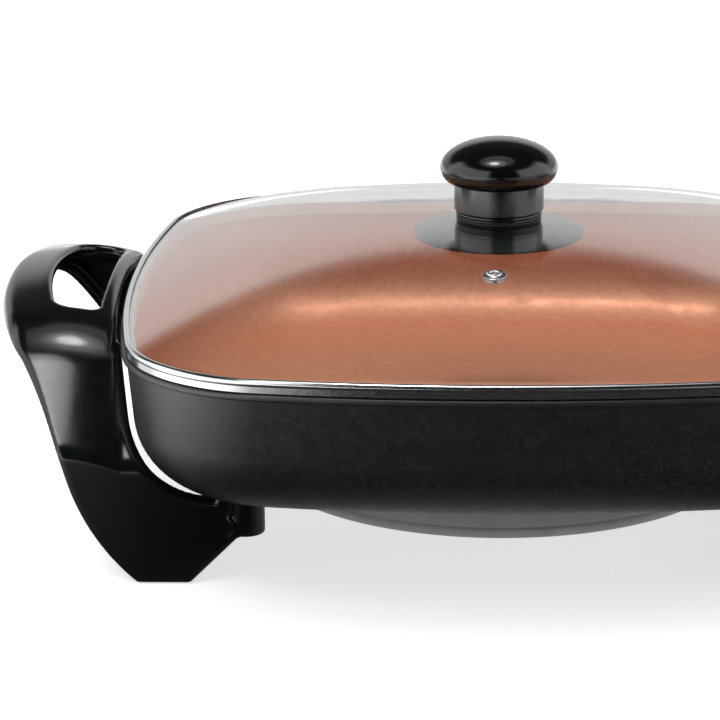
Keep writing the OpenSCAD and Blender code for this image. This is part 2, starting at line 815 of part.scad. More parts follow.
// Points of the outline moved out by d, as a closed ring
side_steps = 4;
corner_steps = 9;
function ring(d) = [for (quarter = [0:3]) each concat(
    [for (i = [0:side_steps - 1])
        let (a = side_half_angle * (2 * i / side_steps - 1))
        turned([-side_shift + (side_r + d) * cos(a), (side_r + d) * sin(a)], 90 * quarter)],
    [for (i = [0:corner_steps - 1])
        let (a = side_half_angle + (90 - 2 * side_half_angle) * i / corner_steps)
        turned([corner_c, corner_c] + (corner_r + d) * [cos(a), sin(a)], 90 * quarter)])];
function turned(p, a) = [p[0] * cos(a) - p[1] * sin(a), p[0] * sin(a) + p[1] * cos(a)];

// Height of the dome above the glass's edge, and its slope, at a share of the way to the edge
function dome(share) = dome_rise * (1 - pow(share, dome_power));
function dome_slope(share) = dome_rise * dome_power * pow(share, dome_power - 1) / glass_half;

// The rings turn from the outline's shape to circles towards the middle
round_power = 0.6;
function dome_ring(share, edge) = [for (p = edge)
    let (a = atan2(p[1], p[0]), b = pow(share, round_power))
    share * (b * p + (1 - b) * glass_half * [cos(a), sin(a)])];

module lid_glass() {
    edge = ring(glass_half - pan_half);
    count = len(edge);
    last = len(shares) - 1;
    top = [for (s = shares) for (p = dome_ring(s, edge))
        [p[0], p[1], glass_edge_z + glass_t + dome(s)]];
    under = [for (p = top) [p[0], p[1], p[2] - glass_t]];
    size = len(top);
    strip = [for (k = [0:last - 1]) for (i = [0:count - 1])
        let (j = (i + 1) % count, a = k * count, b = a + count)
        [[a + i, a + j, b + j], [a + i, b + j, b + i]]];
    faces = concat(
        [for (q = strip) for (f = q) [f[2], f[1], f[0]]],
        [for (q = strip) for (f = q) [f[0] + size, f[1] + size, f[2] + size]],
        [for (i = [0:count - 1]) let (j = (i + 1) % count) each
            [[i, j + size, j], [i, i + size, j + size]]],
        [[for (i = [count - 1:-1:0]) last * count + i]],
        [[for (i = [0:count - 1]) size + last * count + i]]);
    color([0.8, 0.85, 0.85, 0.4]) difference() {
        polyhedron(points = concat(top, under), faces = faces, convexity = 4);
        post([0, 0], knob_screw_r + 1.5, plate_top - past, neck_z + past);
        at_vent() post([0, 0], vent_barrel_r + 0.2, -2 * glass_t, glass_t);
    }
}

// Moves to the vent's place on the glass, turned to stand square on it
vent_share = vent_ahead / glass_half;
module at_vent() {
    translate([vent_x, -vent_ahead, glass_edge_z + glass_t + dome(vent_share)])
        rotate([atan(dome_slope(vent_share)), 0, 0]) children();
}

// The bead's underside slopes with the glass, which it hooks over
hook_gap = 0.15;
module lid_rim() {
    bead_c = [-bead_r, rim_height - bead_r];
    face_x = -0.4;
    groove_x = hook_gap - glass_setback;
    hook_z = glass_edge_z + glass_t + hook_gap;
    hook_end = hook_z + 1.26 * dome_slope(1);
    a0 = -acos((face_x - bead_c[0]) / bead_r);
    a1 = 180 - asin(min(1, (hook_end - bead_c[1]) / bead_r));
    skirt_back = -skirt_in - band_t;
    color([0.8, 0.8, 0.82]) sweep_outline() translate([-lid_setback, 0]) polygon(concat(
        [[face_x, rim_foot]], arc(bead_c, bead_r, a0, a1, 12),
        [[groove_x, hook_z], [groove_x, rim_foot + band_t], [skirt_back, rim_foot + band_t],
         [skirt_back, rim_foot - skirt_depth], [-skirt_in, rim_foot - skirt_depth],
         [-skirt_in, rim_foot]]));
}

module vent_eyelet() {
    lift = 0.1;
    curl = 0.9;
    color([0.8, 0.8, 0.82]) at_vent() rotate_extrude() difference() {
        union() {
            translate([0, -glass_t - curl]) square([vent_barrel_r, glass_t + curl + lift]);
            polygon([[0, lift], [vent_flange_r - 0.2, lift], [vent_flange_r, 0.4],
                     [vent_flange_r - 0.3, curl], [vent_barrel_r, 1.5], [0, 1.5]]);
            translate([0, -glass_t - curl - 0.2]) square([vent_flange_r - 0.3, 0.8]);
        }
        translate([-past, -2 * glass_t]) square([past + vent_hole_r, 3 * glass_t]);
    }
}

// Points of a quarter of an ellipse from the widest line to the axis
function quarter_oval(r, h, n = 14) = [for (i = [0:n]) [r * cos(i * 90 / n), h * sin(i * 90 / n)]];

// How far the neck's tenon, inside its rim, rises into the cap
tenon_in = 2;
tenon_h = 3;

module knob_cap() {
    full = cap_belly * 1.25;
    steps = 6;
    belly_end = asin(cap_belly / full);
    color([0.04, 0.04, 0.045]) rotate_extrude() translate([0, widest_z]) difference() {
        polygon(concat(
            [for (i = [steps:-1:1]) let (a = i * belly_end / steps)
                [cap_r * cos(a), -full * sin(a)]],
            quarter_oval(cap_r, cap_crown),
            [[0, -cap_belly]]));
        translate([-past, -cap_belly - past]) square([neck_r - tenon_in + past, past + tenon_h]);
    }
}

// The groove round the neck's foot, and the depth of the screw's bore
neck_step = 2.4;
screw_bore = 14;

module knob_neck() {
    color([0.04, 0.04, 0.045]) rotate_extrude() difference() {
        union() {
            translate([0, neck_z + neck_step])
                square([neck_r, neck_height - neck_step - rest_gap]);
            translate([0, neck_z]) square([neck_r - 0.8, neck_height]);
            translate([0, cap_z - past])
                square([neck_r - tenon_in - rest_gap, past + tenon_h - 2 * rest_gap]);
        }
        translate([neck_r - 0.5, neck_z + neck_step / 2]) circle(0.5, $fn = 32);
        translate([-past, neck_z - past]) square([past + knob_screw_r + slip_fit, screw_bore + past]);
    }
}

module knob_seat_ring() {
    inner_r = knob_screw_r + 2;
    color([0.1, 0.1, 0.1]) rotate_extrude()
        translate([inner_r, glass_mid_z]) square([seat_ring_r - inner_r, seat_ring_t]);
}

module knob_plate() {
    flat_r = 12;
    bore_r = knob_screw_r + slip_fit;
    color([0.03, 0.03, 0.03]) rotate_extrude() polygon([
        [bore_r, plate_top], [flat_r, plate_top], [plate_r, plate_top - plate_drop],
        [plate_r, plate_top - plate_drop - plate_t], [flat_r, plate_top - plate_t],
        [bore_r, plate_top - plate_t]]);
}

module knob_screw() {
    head_h = 2.2;
    head_low = plate_top - plate_t - head_h;
    color([0.75, 0.75, 0.76]) difference() {
        union() {
            post([0, 0], 2.2 * knob_screw_r, head_low, head_low + head_h);
            post([0, 0], knob_screw_r, head_low, neck_z + screw_bore - 2);
        }
        cross_slots([0, 0], head_low, 1, 5, 1.1);
    }
}

// ---------------------------------------------------------------- heat control

// Cut of the housing's back edge, and the run of the step up to the deck
back_drop = 8;
back_cut = 6;
step_run = 8;

// Side view of the housing, shrunk by t
function housing_profile(t) = [
    [control_start + t, control_z + t], [control_end - t, control_z + t],
    [control_end - t, deck_top - back_drop + t / 2], [control_end - back_cut - t / 2, deck_top - t],
    [deck_start + t / 2, deck_top - t], [deck_start - step_run + t / 2, nose_top - t],
    [control_start + t, nose_top - t]];

module control_form(t) {
    intersection() {
        translate([0, control_half, 0]) rotate([90, 0, 0])
            linear_extrude(2 * control_half) polygon(housing_profile(t));
        linear_extrude(tall) translate([control_start + t, -control_half + t])
            rounded_rectangle(control_length - 2 * t, 2 * (control_half - t), control_corner - t);
    }
}

module rounded_rectangle(w, h, r) {
    translate([r, 0]) square([w - 2 * r, h]);
    translate([0, r]) square([w, h - 2 * r]);
    for (x = [r, w - r], y = [r, h - r]) translate([x, y]) circle(r, $fn = small_fn);
}

// The housing's shell between two heights
module control_shell(low, high) {
    difference() {
        intersection() {
            control_form(0);
            block([control_start - past, -control_half - past, low],
                  [control_end + past, control_half + past, high]);
        }
        control_form(shell_t);
    }
}

front_post_in = 19;
back_post_in = 9;
side_post_in = 8;
control_posts = [for (x = [control_start + front_post_in, control_end - back_post_in], s = [-1, 1])
    [x, s * (control_half - side_post_in)]];
control_head_h = 1.6;
// Height of the screw heads' seats above the housing's underside, and depth of the upper bores
head_seat = 3;
upper_bore = 9;

module control_lower_housing() {
    color([0.07, 0.07, 0.075]) difference() {
        union() {
            control_shell(control_z - past, seam_z);
            for (p = control_posts) post(p, post_r, control_z + shell_t / 2, seam_z);
        }
        for (p = control_posts) {
            post(p, control_screw_r + screw_room, control_z - past, seam_z + past);
            post(p, control_head_r + screw_room, control_z - past, control_z + head_seat);
        }
        carrier_window();
    }
}

module control_upper_housing() {
    color([0.07, 0.07, 0.075]) difference() {
        union() {
            control_shell(seam_z, tall);
            intersection() {
                for (p = control_posts) post(p, post_r, seam_z, tall);
                control_form(shell_t / 2);
            }
        }
        for (p = control_posts)
            post(p, control_screw_r + slip_fit, seam_z - past, seam_z + upper_bore);
        post([dial_x, 0], shaft_r + shaft_fit, deck_top - shell_t - past, deck_top + past);
        post(lens_place, lens_r + slip_fit, deck_top - shell_t - past, deck_top + past);
        rod_x(gland_neck_r + slip_fit, control_end - shell_t - past, control_end + past, 0, gland_z);
        carrier_window();
    }
}

module control_screws() {
    head_low = control_z + head_seat - control_head_h;
    color([0.7, 0.7, 0.72]) for (p = control_posts) difference() {
        union() {
            post(p, control_head_r, head_low, head_low + control_head_h);
            post(p, control_screw_r, head_low, seam_z + upper_bore - 1);
        }
        cross_slots(p, head_low, 0.7, 3.2, 0.7);
    }
}

// The insulating block that carries the contacts and the probe in the housing's front
carrier_half_y = terminal_y + contact_r + carrier_wall;
carrier_z1 = nose_top - shell_t - 0.6;
carrier_front = guard_start + guard_t + guard_back_gap;
carrier_back = control_start + carrier_in;
contact_back = carrier_back + contact_tail;
probe_back = carrier_back + probe_tail;

module carrier_window() {
    block([control_start - past, -carrier_half_y - rest_gap, carrier_z0 - rest_gap],
          [control_start + shell_t + past, carrier_half_y + rest_gap, carrier_z1 + rest_gap]);
}

module contact_carrier() {
    color([0.30, 0.24, 0.18]) difference() {
        union() {
            block([carrier_front, -carrier_half_y, carrier_z0],
                  [carrier_back, carrier_half_y, carrier_z1]);
            block([control_start + shell_t, -carrier_half_y - carrier_lip, carrier_z0 - carrier_lip],
                  [carrier_back, carrier_half_y + carrier_lip, carrier_z1]);
        }
        for (s = [-1, 1])
            rod_x(contact_r + slip_fit, carrier_front - past, carrier_back + past,
                  s * terminal_y, terminal_z);
        rod_x(probe_r + slip_fit, carrier_front - past, carrier_back + past, 0, sleeve_z);
    }
}

module contact_sleeves() {
    color([0.85, 0.75, 0.45]) for (s = [-1, 1]) difference() {
        rod_x(contact_r, carrier_front + 1, contact_back, s * terminal_y, terminal_z);
        rod_x(pin_r + contact_fit, carrier_front, guard_end - pin_in + 2, s * terminal_y, terminal_z);
    }
}

module probe_rod() {
    nose = 2;
    nose_end = sleeve_start + probe_room + nose;
    color([0.75, 0.75, 0.76]) {
        translate([nose_end, 0, sleeve_z]) rotate([0, -90, 0])
            cylinder(r1 = probe_r, r2 = probe_r - 1.4, h = nose);
        rod_x(probe_r, nose_end, probe_back, 0, sleeve_z);
    }
}

// The bimetal switch: a clamp plate on the probe, a leaf out to the dial's shaft, two blocks
// below it and a leaf under these
clamp_half = 4.5;
clamp_side = 9;
clamp_t = 3;
leaf_t = 1.5;
leaf_side = 7;
under_leaf_side = 4;
block_h = 5.6;
block_l = 5;
block_places = [6, 13];
leaf_past_shaft = 6;

module thermostat() {
    low = sleeve_z - clamp_half;
    under = low - block_h;
    leaf_end = dial_x + shaft_r + leaf_past_shaft;
    color([0.75, 0.68, 0.5]) {
        block([probe_back, -clamp_side, low], [probe_back + clamp_t, clamp_side, sleeve_z + clamp_half]);
        block([probe_back + clamp_t / 2, -leaf_side, low], [leaf_end, leaf_side, low + leaf_t]);
        for (x = block_places)
            block([probe_back + x, -leaf_side, under],
                  [probe_back + x + block_l, leaf_side, low + rest_gap]);
        block([probe_back + block_places[0], -under_leaf_side, under - leaf_t],
              [leaf_end - block_l, under_leaf_side, under + rest_gap]);
    }
}

lens_place = [dial_x - 4, control_half - shell_t - lens_r - 1.1];
lamp_r = 2;
lamp_top = deck_top - 5;
lamp_seat = deck_top - 15;
module indicator_lamp() {
    socket_half = 3;
    color([0.95, 0.55, 0.3]) {
        translate([lens_place[0], lens_place[1], lamp_top]) ball(lamp_r + 0.1);
        post(lens_place, lamp_r, lamp_seat, lamp_top);
        translate([lens_place[0] - socket_half, lens_place[1] - socket_half, control_z + shell_t])
            cube([2 * socket_half, 2 * socket_half, lamp_seat + rest_gap - control_z - shell_t]);
    }
}

module indicator_lens() {
    flange_h = 0.6;
    low = deck_top - shell_t - flange_h;
    color([0.8, 0.15, 0.1]) translate([lens_place[0], lens_place[1], 0]) rotate_extrude() union() {
        translate([0, low]) square([lens_r, shell_t + flange_h + rest_gap]);
        translate([0, low]) square([lens_r + 0.8, flange_h]);
        translate([0, deck_top + rest_gap])
            polygon(concat([[0, -0.5], [lens_r, -0.5]], quarter_oval(lens_r, 1.2)));
    }
}

gland_neck_r = cord_r + 1.8;
gland_collar_r = gland_neck_r + 1.6;
gland_length = 14;
module cord_gland() {
    color([0.08, 0.08, 0.08]) translate([control_end, 0, gland_z]) rotate([0, 90, 0])
        rotate_extrude() difference() {
            union() {
                translate([0, gland_out - gland_length]) square([gland_neck_r, gland_length]);
                square([gland_collar_r, gland_out]);
                translate([0, -shell_t - 2]) square([gland_collar_r, 2]);
            }
            translate([-past, gland_out - gland_length - past])
                square([past + cord_r, gland_length + 2 * past]);
        }
}

// The dial: a skirt, a grip with ribs and a chamfered top
grip_ribs = 24;
dial_skirt = 2.2;
dial_grip_r = dial_r - 2.6;
dial_z = deck_top + dial_gap;
shaft_top = dial_z + dial_h - 2;
module control_dial() {
    color([0.05, 0.05, 0.055]) difference() {
        translate([dial_x, 0, dial_z]) {
            cylinder(r = dial_r, h = dial_skirt);
            cylinder(r = dial_grip_r, h = dial_h - 1);
            translate([0, 0, dial_h - 1]) cylinder(r1 = dial_grip_r, r2 = dial_grip_r - 1, h = 1);
            for (i = [0:grip_ribs - 1]) rotate(i * 360 / grip_ribs)
                translate([dial_grip_r - 0.4, -0.5, 0]) cube([1.1, 1, dial_h - 1.6]);
        }
        post([dial_x, 0], shaft_r + slip_fit, dial_z - past, shaft_top);
    }
}

module dial_shaft() {
    collar_top = deck_top - shell_t - 0.4;
    color([0.8, 0.72, 0.45]) {
        post([dial_x, 0], shaft_r, sleeve_z - 2.8, shaft_top);
        post([dial_x, 0], shaft_r + 2, collar_top - 2.2, collar_top);
    }
}

// ---------------------------------------------------------------- parts

pan();
bottom_cover();
heating_element();
element_clips();
terminal_insulators();
terminal_pins();
socket_guard();
probe_sleeve();
cover_stud();
cover_nut();
handle_left();
handle_right();
handle_screws();
lid_glass();
lid_rim();
vent_eyelet();
knob_cap();
knob_neck();
knob_seat_ring();
knob_plate();
knob_screw();
control_lower_housing();
control_upper_housing();
control_screws();
probe_rod();
contact_carrier();
contact_sleeves();
thermostat();
indicator_lamp();
indicator_lens();
cord_gland();
control_dial();
dial_shaft();
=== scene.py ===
import math

import bmesh
import bpy
import numpy as np
from mathutils import Matrix, Vector


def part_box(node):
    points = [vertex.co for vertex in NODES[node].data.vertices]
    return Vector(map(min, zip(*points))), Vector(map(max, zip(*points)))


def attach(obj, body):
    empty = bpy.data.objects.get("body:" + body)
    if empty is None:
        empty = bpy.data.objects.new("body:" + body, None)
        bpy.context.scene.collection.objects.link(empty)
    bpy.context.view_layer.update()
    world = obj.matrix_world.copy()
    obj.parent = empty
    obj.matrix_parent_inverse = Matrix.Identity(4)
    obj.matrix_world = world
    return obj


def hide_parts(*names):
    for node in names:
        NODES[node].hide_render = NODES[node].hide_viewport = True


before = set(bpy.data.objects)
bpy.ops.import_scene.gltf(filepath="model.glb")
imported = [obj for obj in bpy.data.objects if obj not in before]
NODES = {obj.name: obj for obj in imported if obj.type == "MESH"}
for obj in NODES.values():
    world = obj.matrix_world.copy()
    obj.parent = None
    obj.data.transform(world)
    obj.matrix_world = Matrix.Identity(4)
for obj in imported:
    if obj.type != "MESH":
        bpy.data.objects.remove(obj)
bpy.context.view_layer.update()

MM = 0.001


# ------------------------------------------------------------------ sizes, in millimetres
# the pan's outline: a flat arc on each side, and a rounder one at each corner
CORNER_C = 80.6  # x and y of the centre of a corner's arc
SIDE_SHIFT, SIDE_R = 440.2, 590.9  # a side's arc: its centre past the middle, and its radius
PAN_HALF = SIDE_R - SIDE_SHIFT
HALF_ANGLE = math.atan2(CORNER_C, CORNER_C + SIDE_SHIFT)
CORNER_R = SIDE_R - math.hypot(CORNER_C, CORNER_C + SIDE_SHIFT)
SIDE_STEPS, CORNER_STEPS = 30, 34

# the pan's section
PAN_RIM, BASE_Z, FLOOR_TOP = 91.9, 39.3, 43.8
DRAFT = math.radians(5)
BEND, WALL = 28.5, 3.0
LIP_OUT, LIP_H = 1.4, 2.4
FLAT_IN = 56  # base and floor are flat from here inwards

# the lid
RIM_TOP, RIM_FOOT, SETBACK = 97.5, 92.2, 0.7
GLASS_HALF, GLASS_EDGE, GLASS_T = 148.2, 93.0, 3.5
RISE, POWER = 25.9, 2.5  # the dome's rise over its edge, and how flat its middle is
SEAT_Z = 122.15  # underside of the ring below the knob
VENT_X, VENT_Y = -2.4, -73.4

# the left handle
REACH, CROWN_Z, CROWN_R = 200.5, 102.7, 260.0
LEG_Y, KNEE_Z, SHOULDER = 96.0, 53.7, math.atan2(40.62, 30)
SHOULDER_R, KNEE_R = 42, 12
GRIP_MID, GRIP_HALF = -176.45, 24.05
SHELL_T, FLANGE_T, FACE_T = 5, 10.5, 4
PAN_GAP, BASE_GAP = 2, 4.3
BOSS_X, BOSS_Y, BOSS_Z, BOSS_R = 98.1, 88.5, 19.2, 7.5
PEG_X, PEG_Y, PEG_L = (-108.5, -103.0), (91, 96), 10.5
STUD_L = 8

# the heat control
CONTROL_X, CONTROL_END, CONTROL_HALF, CONTROL_Z = 120.5, 195.5, 27, 9.1
SEAM, NOSE, DECK = 22, 37, 50  # heights of the seam, the low nose and the deck
NOSE_END, DECK_START = 149, 157
CONTROL_R = 3  # its corners in the side view
SCREW_X, SCREW_Y = (139.5, 186.5), 19
DIAL_X, DIAL_Z = 177, 50.4
LAMP_X, LAMP_Y = DIAL_X - 4, 20.5
GLAND_Z = 30


# ------------------------------------------------------------------ meshes
def rings():
    """Centre, radius and direction of each point of the pan's outline."""
    out = []
    for quarter in range(4):
        turn = quarter * math.pi / 2
        for i in range(SIDE_STEPS):
            a = HALF_ANGLE * (2 * i / SIDE_STEPS - 1)
            out.append((-SIDE_SHIFT, 0, SIDE_R, a, turn))
        for i in range(CORNER_STEPS):
            a = HALF_ANGLE + (math.pi / 2 - 2 * HALF_ANGLE) * i / CORNER_STEPS
            out.append((CORNER_C, CORNER_C, CORNER_R, a, turn))
    cx, cy, r, a, t = (np.array(c) for c in zip(*out))
    c, s = np.cos(t), np.sin(t)
    centre = np.stack([cx * c - cy * s, cx * s + cy * c], 1)
    return centre, r, np.stack([np.cos(a + t), np.sin(a + t)], 1)


RING_C, RING_R, RING_D = rings()


def ring(offset):
    """The outline moved out by offset."""
    return RING_C + (RING_R + offset)[:, None] * RING_D


def strip_faces(rows, n, closed=False):
    """Quads between rows of n points each, every row a closed ring."""
    last = rows if closed else rows - 1
    out = []
    for k in range(last):
        a, b = k * n, ((k + 1) % rows) * n
        for i in range(n):
            j = (i + 1) % n
            out.append((a + i, a + j, b + j, b + i))
    return out


def make(name, verts, faces, mats, sharp=35, index=None):
    """A mesh object from points in millimetres."""
    mesh = bpy.data.meshes.new(name)
    mesh.from_pydata((np.asarray(verts) * MM).tolist(), [], faces)
    for m in mats if isinstance(mats, list) else [mats]:
        mesh.materials.append(m)
    mesh.polygons.foreach_set("use_smooth", [True] * len(mesh.polygons))
    if index is not None:
        mesh.polygons.foreach_set("material_index", index)
    mesh.validate()
    work = bmesh.new()
    work.from_mesh(mesh)
    bmesh.ops.recalc_face_normals(work, faces=work.faces)
    work.to_mesh(mesh)
    work.free()
    mesh.set_sharp_from_angle(angle=math.radians(sharp))
    mesh.update()
    ob = bpy.data.objects.new(name, mesh)
    bpy.context.scene.collection.objects.link(ob)
    return ob


def stand_for(ob, body, slot, *nodes):
    """Put the object on its body, in place of the nodes that it replaces; the slot is not used."""
    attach(ob, body)
    if nodes:
        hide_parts(*nodes)


def sweep(profile, closed=True):
    """Points and faces of a profile swept round the outline; its X is 0 on the pan's edge."""
    verts = np.vstack([np.c_[ring(x), np.full(len(RING_R), z)] for x, z in profile])
    return verts, strip_faces(len(profile), len(RING_R), closed)


def lathe(profile, n=144, centre=(0, 0)):
    """Points and faces of a profile of (radius, height) turned about an upright axis."""
    a = np.arange(n) * 2 * math.pi / n
    x, y = centre
    verts = np.vstack([np.c_[x + r * np.cos(a), y + r * np.sin(a), np.full(n, z)]
                       for r, z in profile])
    return verts, strip_faces(len(profile), n)


def join(*parts):
    """One mesh from several pairs of points and faces."""
    verts, faces, base = [], [], 0
    for v, f in parts:
        verts.append(np.asarray(v))
        faces += [tuple(i + base for i in q) for q in f]
        base += len(v)
    return np.vstack(verts), faces


def arc(c, r, a0, a1, n):
    """Points of the arc round c from a0 to a1, in degrees."""
    return [(c[0] + r * math.cos(a), c[1] + r * math.sin(a))
            for a in np.radians(np.linspace(a0, a1, n + 1))]


def fillet(o, p, q, r, n):
    """Points of the fillet that rounds the corner p between o and q."""
    o, p, q = (np.array(v, float) for v in (o, p, q))
    u = (o - p) / np.linalg.norm(o - p)
    v = (q - p) / np.linalg.norm(q - p)
    half = math.acos(np.clip(u @ v, -1, 1)) / 2
    c = p + (u + v) / np.linalg.norm(u + v) * r / math.sin(half)
    s, e = p + u * r / math.tan(half), p + v * r / math.tan(half)
    a0 = math.degrees(math.atan2(*(s - c)[::-1]))
    d = (math.degrees(math.atan2(*(e - c)[::-1])) - a0 + 180) % 360 - 180
    return arc(c, r, a0, a0 + d, n)


def bulge(p, q, r, n):
    """Points of the arc from p to q that bulges to the left of p to q."""
    p, q = np.array(p, float), np.array(q, float)
    d = q - p
    h = math.sqrt(r * r - d @ d / 4)
    c = (p + q) / 2 + np.array([d[1], -d[0]]) / np.linalg.norm(d) * h
    a0 = math.degrees(math.atan2(*(p - c)[::-1]))
    t = (math.degrees(math.atan2(*(q - c)[::-1])) - a0 + 180) % 360 - 180
    return arc(c, r, a0, a0 + t, n)


# ------------------------------------------------------------------ solids from distances
def poly_dist(x, y, poly):
    """Signed distance of the points (x, y) to a polygon, negative inside."""
    poly = np.asarray(poly, float)
    best = np.full(x.shape, 1e9)
    inside = np.zeros(x.shape, bool)
    for (ax, ay), (bx, by) in zip(poly, np.roll(poly, -1, 0)):
        ex, ey = bx - ax, by - ay
        ll = ex * ex + ey * ey
        if ll < 1e-12:
            continue
        t = np.clip(((x - ax) * ex + (y - ay) * ey) / ll, 0, 1)
        best = np.minimum(best, (x - ax - t * ex) ** 2 + (y - ay - t * ey) ** 2)
        if ey:
            hit = ((ay > y) != (by > y)) & (x < ex * (y - ay) / ey + ax)
            inside ^= hit
    return np.where(inside, -1, 1) * np.sqrt(best)


def both(a, b, r):
    """Where both solids are, with an edge of radius r."""
    corner = np.hypot(np.maximum(a + r, 0), np.maximum(b + r, 0))
    return np.minimum(-r, np.maximum(a, b)) + corner


def either(a, b, r):
    """Where either solid is, with a fillet of radius r."""
    return -both(-a, -b, r)


def skin(d, origin, step):
    """Points, faces and normals of the surface where the field d is 0 (surface nets)."""
    s = d < 0
    n = np.array(d.shape)
    corners = [(i, j, k) for i in (0, 1) for j in (0, 1) for k in (0, 1)]

    def part(a, c):
        return a[c[0]:n[0] - 1 + c[0], c[1]:n[1] - 1 + c[1], c[2]:n[2] - 1 + c[2]]

    count = sum(part(s, c).astype(np.int8) for c in corners)
    cell = np.argwhere((count > 0) & (count < 8))
    total, hits = np.zeros((len(cell), 3)), np.zeros(len(cell))
    for a in corners:
        for axis in range(3):
            if a[axis]:
                continue
            b = list(a)
            b[axis] = 1
            da = d[tuple((cell + a).T)]
            db = d[tuple((cell + b).T)]
            cut = (da < 0) != (db < 0)
            t = np.where(cut, da / np.where(cut, da - db, 1), 0)
            p = np.array(a)[None, :] + t[:, None] * (np.array(b) - a)[None, :]
            total += np.where(cut[:, None], p, 0)
            hits += cut
    pos = cell + total / hits[:, None]
    number = np.full(tuple(n - 1), -1, np.int64)
    number[tuple(cell.T)] = np.arange(len(cell))
    quads = []
    for axis in range(3):
        u, v = (axis + 1) % 3, (axis + 2) % 3
        lo = [slice(None)] * 3
        hi = [slice(None)] * 3
        lo[axis], hi[axis] = slice(0, -1), slice(1, None)
        sa, sb = s[tuple(lo)], s[tuple(hi)]
        e = np.argwhere(sa != sb)
        e = e[(e[:, u] > 0) & (e[:, v] > 0) & (e[:, u] < n[u] - 1) & (e[:, v] < n[v] - 1)]
        out = sa[tuple(e.T)]
        du, dv = np.zeros(3, int), np.zeros(3, int)
        du[u], dv[v] = 1, 1
        q = np.stack([number[tuple((e - du - dv).T)], number[tuple((e - dv).T)],
                      number[tuple(e.T)], number[tuple((e - du).T)]], 1)
        q[~out] = q[~out][:, ::-1]
        quads.append(q)
    quads = np.vstack(quads)
    grad = np.gradient(d)

    def sample(a, p):
        """The field a between its grid points, at the places p."""
        i = np.clip(np.floor(p).astype(int), 0, n - 2)
        f = p - i
        out = 0
        for c in corners:
            w = np.prod([f[:, k] if c[k] else 1 - f[:, k] for k in range(3)], axis=0)
            out = out + w * a[tuple((i + c).T)]
        return out

    # draw the points onto the surface, then take its normals
    for _ in range(3):
        g = np.stack([sample(a, pos) for a in grad], 1)
        size = np.maximum((g * g).sum(1), 0.2)
        move = (sample(d, pos) / size)[:, None] * g
        pos = np.clip(pos - np.clip(move, -0.5, 0.5), 0, n - 1.001)
    g = np.stack([sample(a, pos) for a in grad], 1)
    g /= np.maximum(np.linalg.norm(g, axis=1), 1e-9)[:, None]
    return origin + pos * step, quads, g


def skin_object(name, data, mats, flip=False):
    """The object of a surface from skin(), mirrored to the other side of X if flip."""
    verts, quads, normals = data
    if flip:
        verts, normals, quads = verts * [-1, 1, 1], normals * [-1, 1, 1], quads[:, ::-1]
    ob = make(name, verts, quads.tolist(), mats, sharp=180)
    ob.data.normals_split_custom_set_from_vertices(normals.tolist())
    return ob


# ------------------------------------------------------------------ materials
class Graph:
    """Short calls for the nodes of a tree."""

    def __init__(self, tree):
        self.tree = tree

    def add(self, kind, **values):
        node = self.tree.nodes.new(kind)
        for key, value in values.items():
            setattr(node, key, value)
        return node

    def link(self, a, b):
        self.tree.links.new(a, b)

    def calc(self, op, a, b=None):
        node = self.add("ShaderNodeMath", operation=op)
        for socket, value in zip(node.inputs, (a, b)):
            if isinstance(value, (int, float)):
                socket.default_value = value
            elif value is not None:
                self.link(value, socket)
        return node.outputs[0]

    def remap(self, fac, low, high, to_low=0.0, to_high=1.0, kind="LINEAR"):
        node = self.add("ShaderNodeMapRange", interpolation_type=kind)
        ends = {"From Min": low, "From Max": high, "To Min": to_low, "To Max": to_high}
        for key, value in ends.items():
            node.inputs[key].default_value = value
        self.link(fac, node.inputs["Value"])
        return node.outputs["Result"]

    def soft(self, fac, low, high):
        """0 at low, 1 at high, with a soft change between."""
        return self.remap(fac, low, high, kind="SMOOTHSTEP")

    def ramp(self, fac, stops):
        node = self.add("ShaderNodeValToRGB")
        ramp = node.color_ramp
        while len(ramp.elements) < len(stops):
            ramp.elements.new(0.5)
        for element, (at, colour) in zip(ramp.elements, stops):
            element.position = at
            element.color = (*colour, 1)
        self.link(fac, node.inputs["Fac"])
        return node.outputs["Color"]


class Shader(Graph):
    """A Principled material and a few nodes for it."""

    def __init__(self, name):
        self.mat = bpy.data.materials.new(name)
        self.mat.use_nodes = True
        super().__init__(self.mat.node_tree)
        self.bsdf = self.tree.nodes["Principled BSDF"]
        self.out = self.tree.nodes["Material Output"]
        self.coords = self.add("ShaderNodeTexCoord").outputs["Object"]

    def put(self, **values):
        for key, value in values.items():
            if isinstance(value, tuple):
                value = (*value, 1)
            self.bsdf.inputs[key.replace("_", " ")].default_value = value

    def noise(self, scale, detail=3.0, rough=0.5):
        node = self.add("ShaderNodeTexNoise")
        node.inputs["Scale"].default_value = scale
        node.inputs["Detail"].default_value = detail
        node.inputs["Roughness"].default_value = rough
        self.link(self.coords, node.inputs["Vector"])
        return node.outputs["Fac"]

    def colour(self, fac, stops):
        self.link(self.ramp(fac, stops), self.bsdf.inputs["Base Color"])

    def rough(self, fac, low, high):
        self.link(self.remap(fac, 0.3, 0.7, low, high), self.bsdf.inputs["Roughness"])

    def bump(self, fac, distance, strength=1.0):
        node = self.add("ShaderNodeBump")
        node.inputs["Distance"].default_value = distance
        node.inputs["Strength"].default_value = strength
        self.link(fac, node.inputs["Height"])
        self.link(node.outputs["Normal"], self.bsdf.inputs["Normal"])


def mix_shader(g, fac, first, second):
    """The first shader where fac is 0, the second where it is 1."""
    node = g.add("ShaderNodeMixShader")
    for source, socket in zip((fac, first, second), node.inputs):
        g.link(source, socket)
    return node.outputs[0]


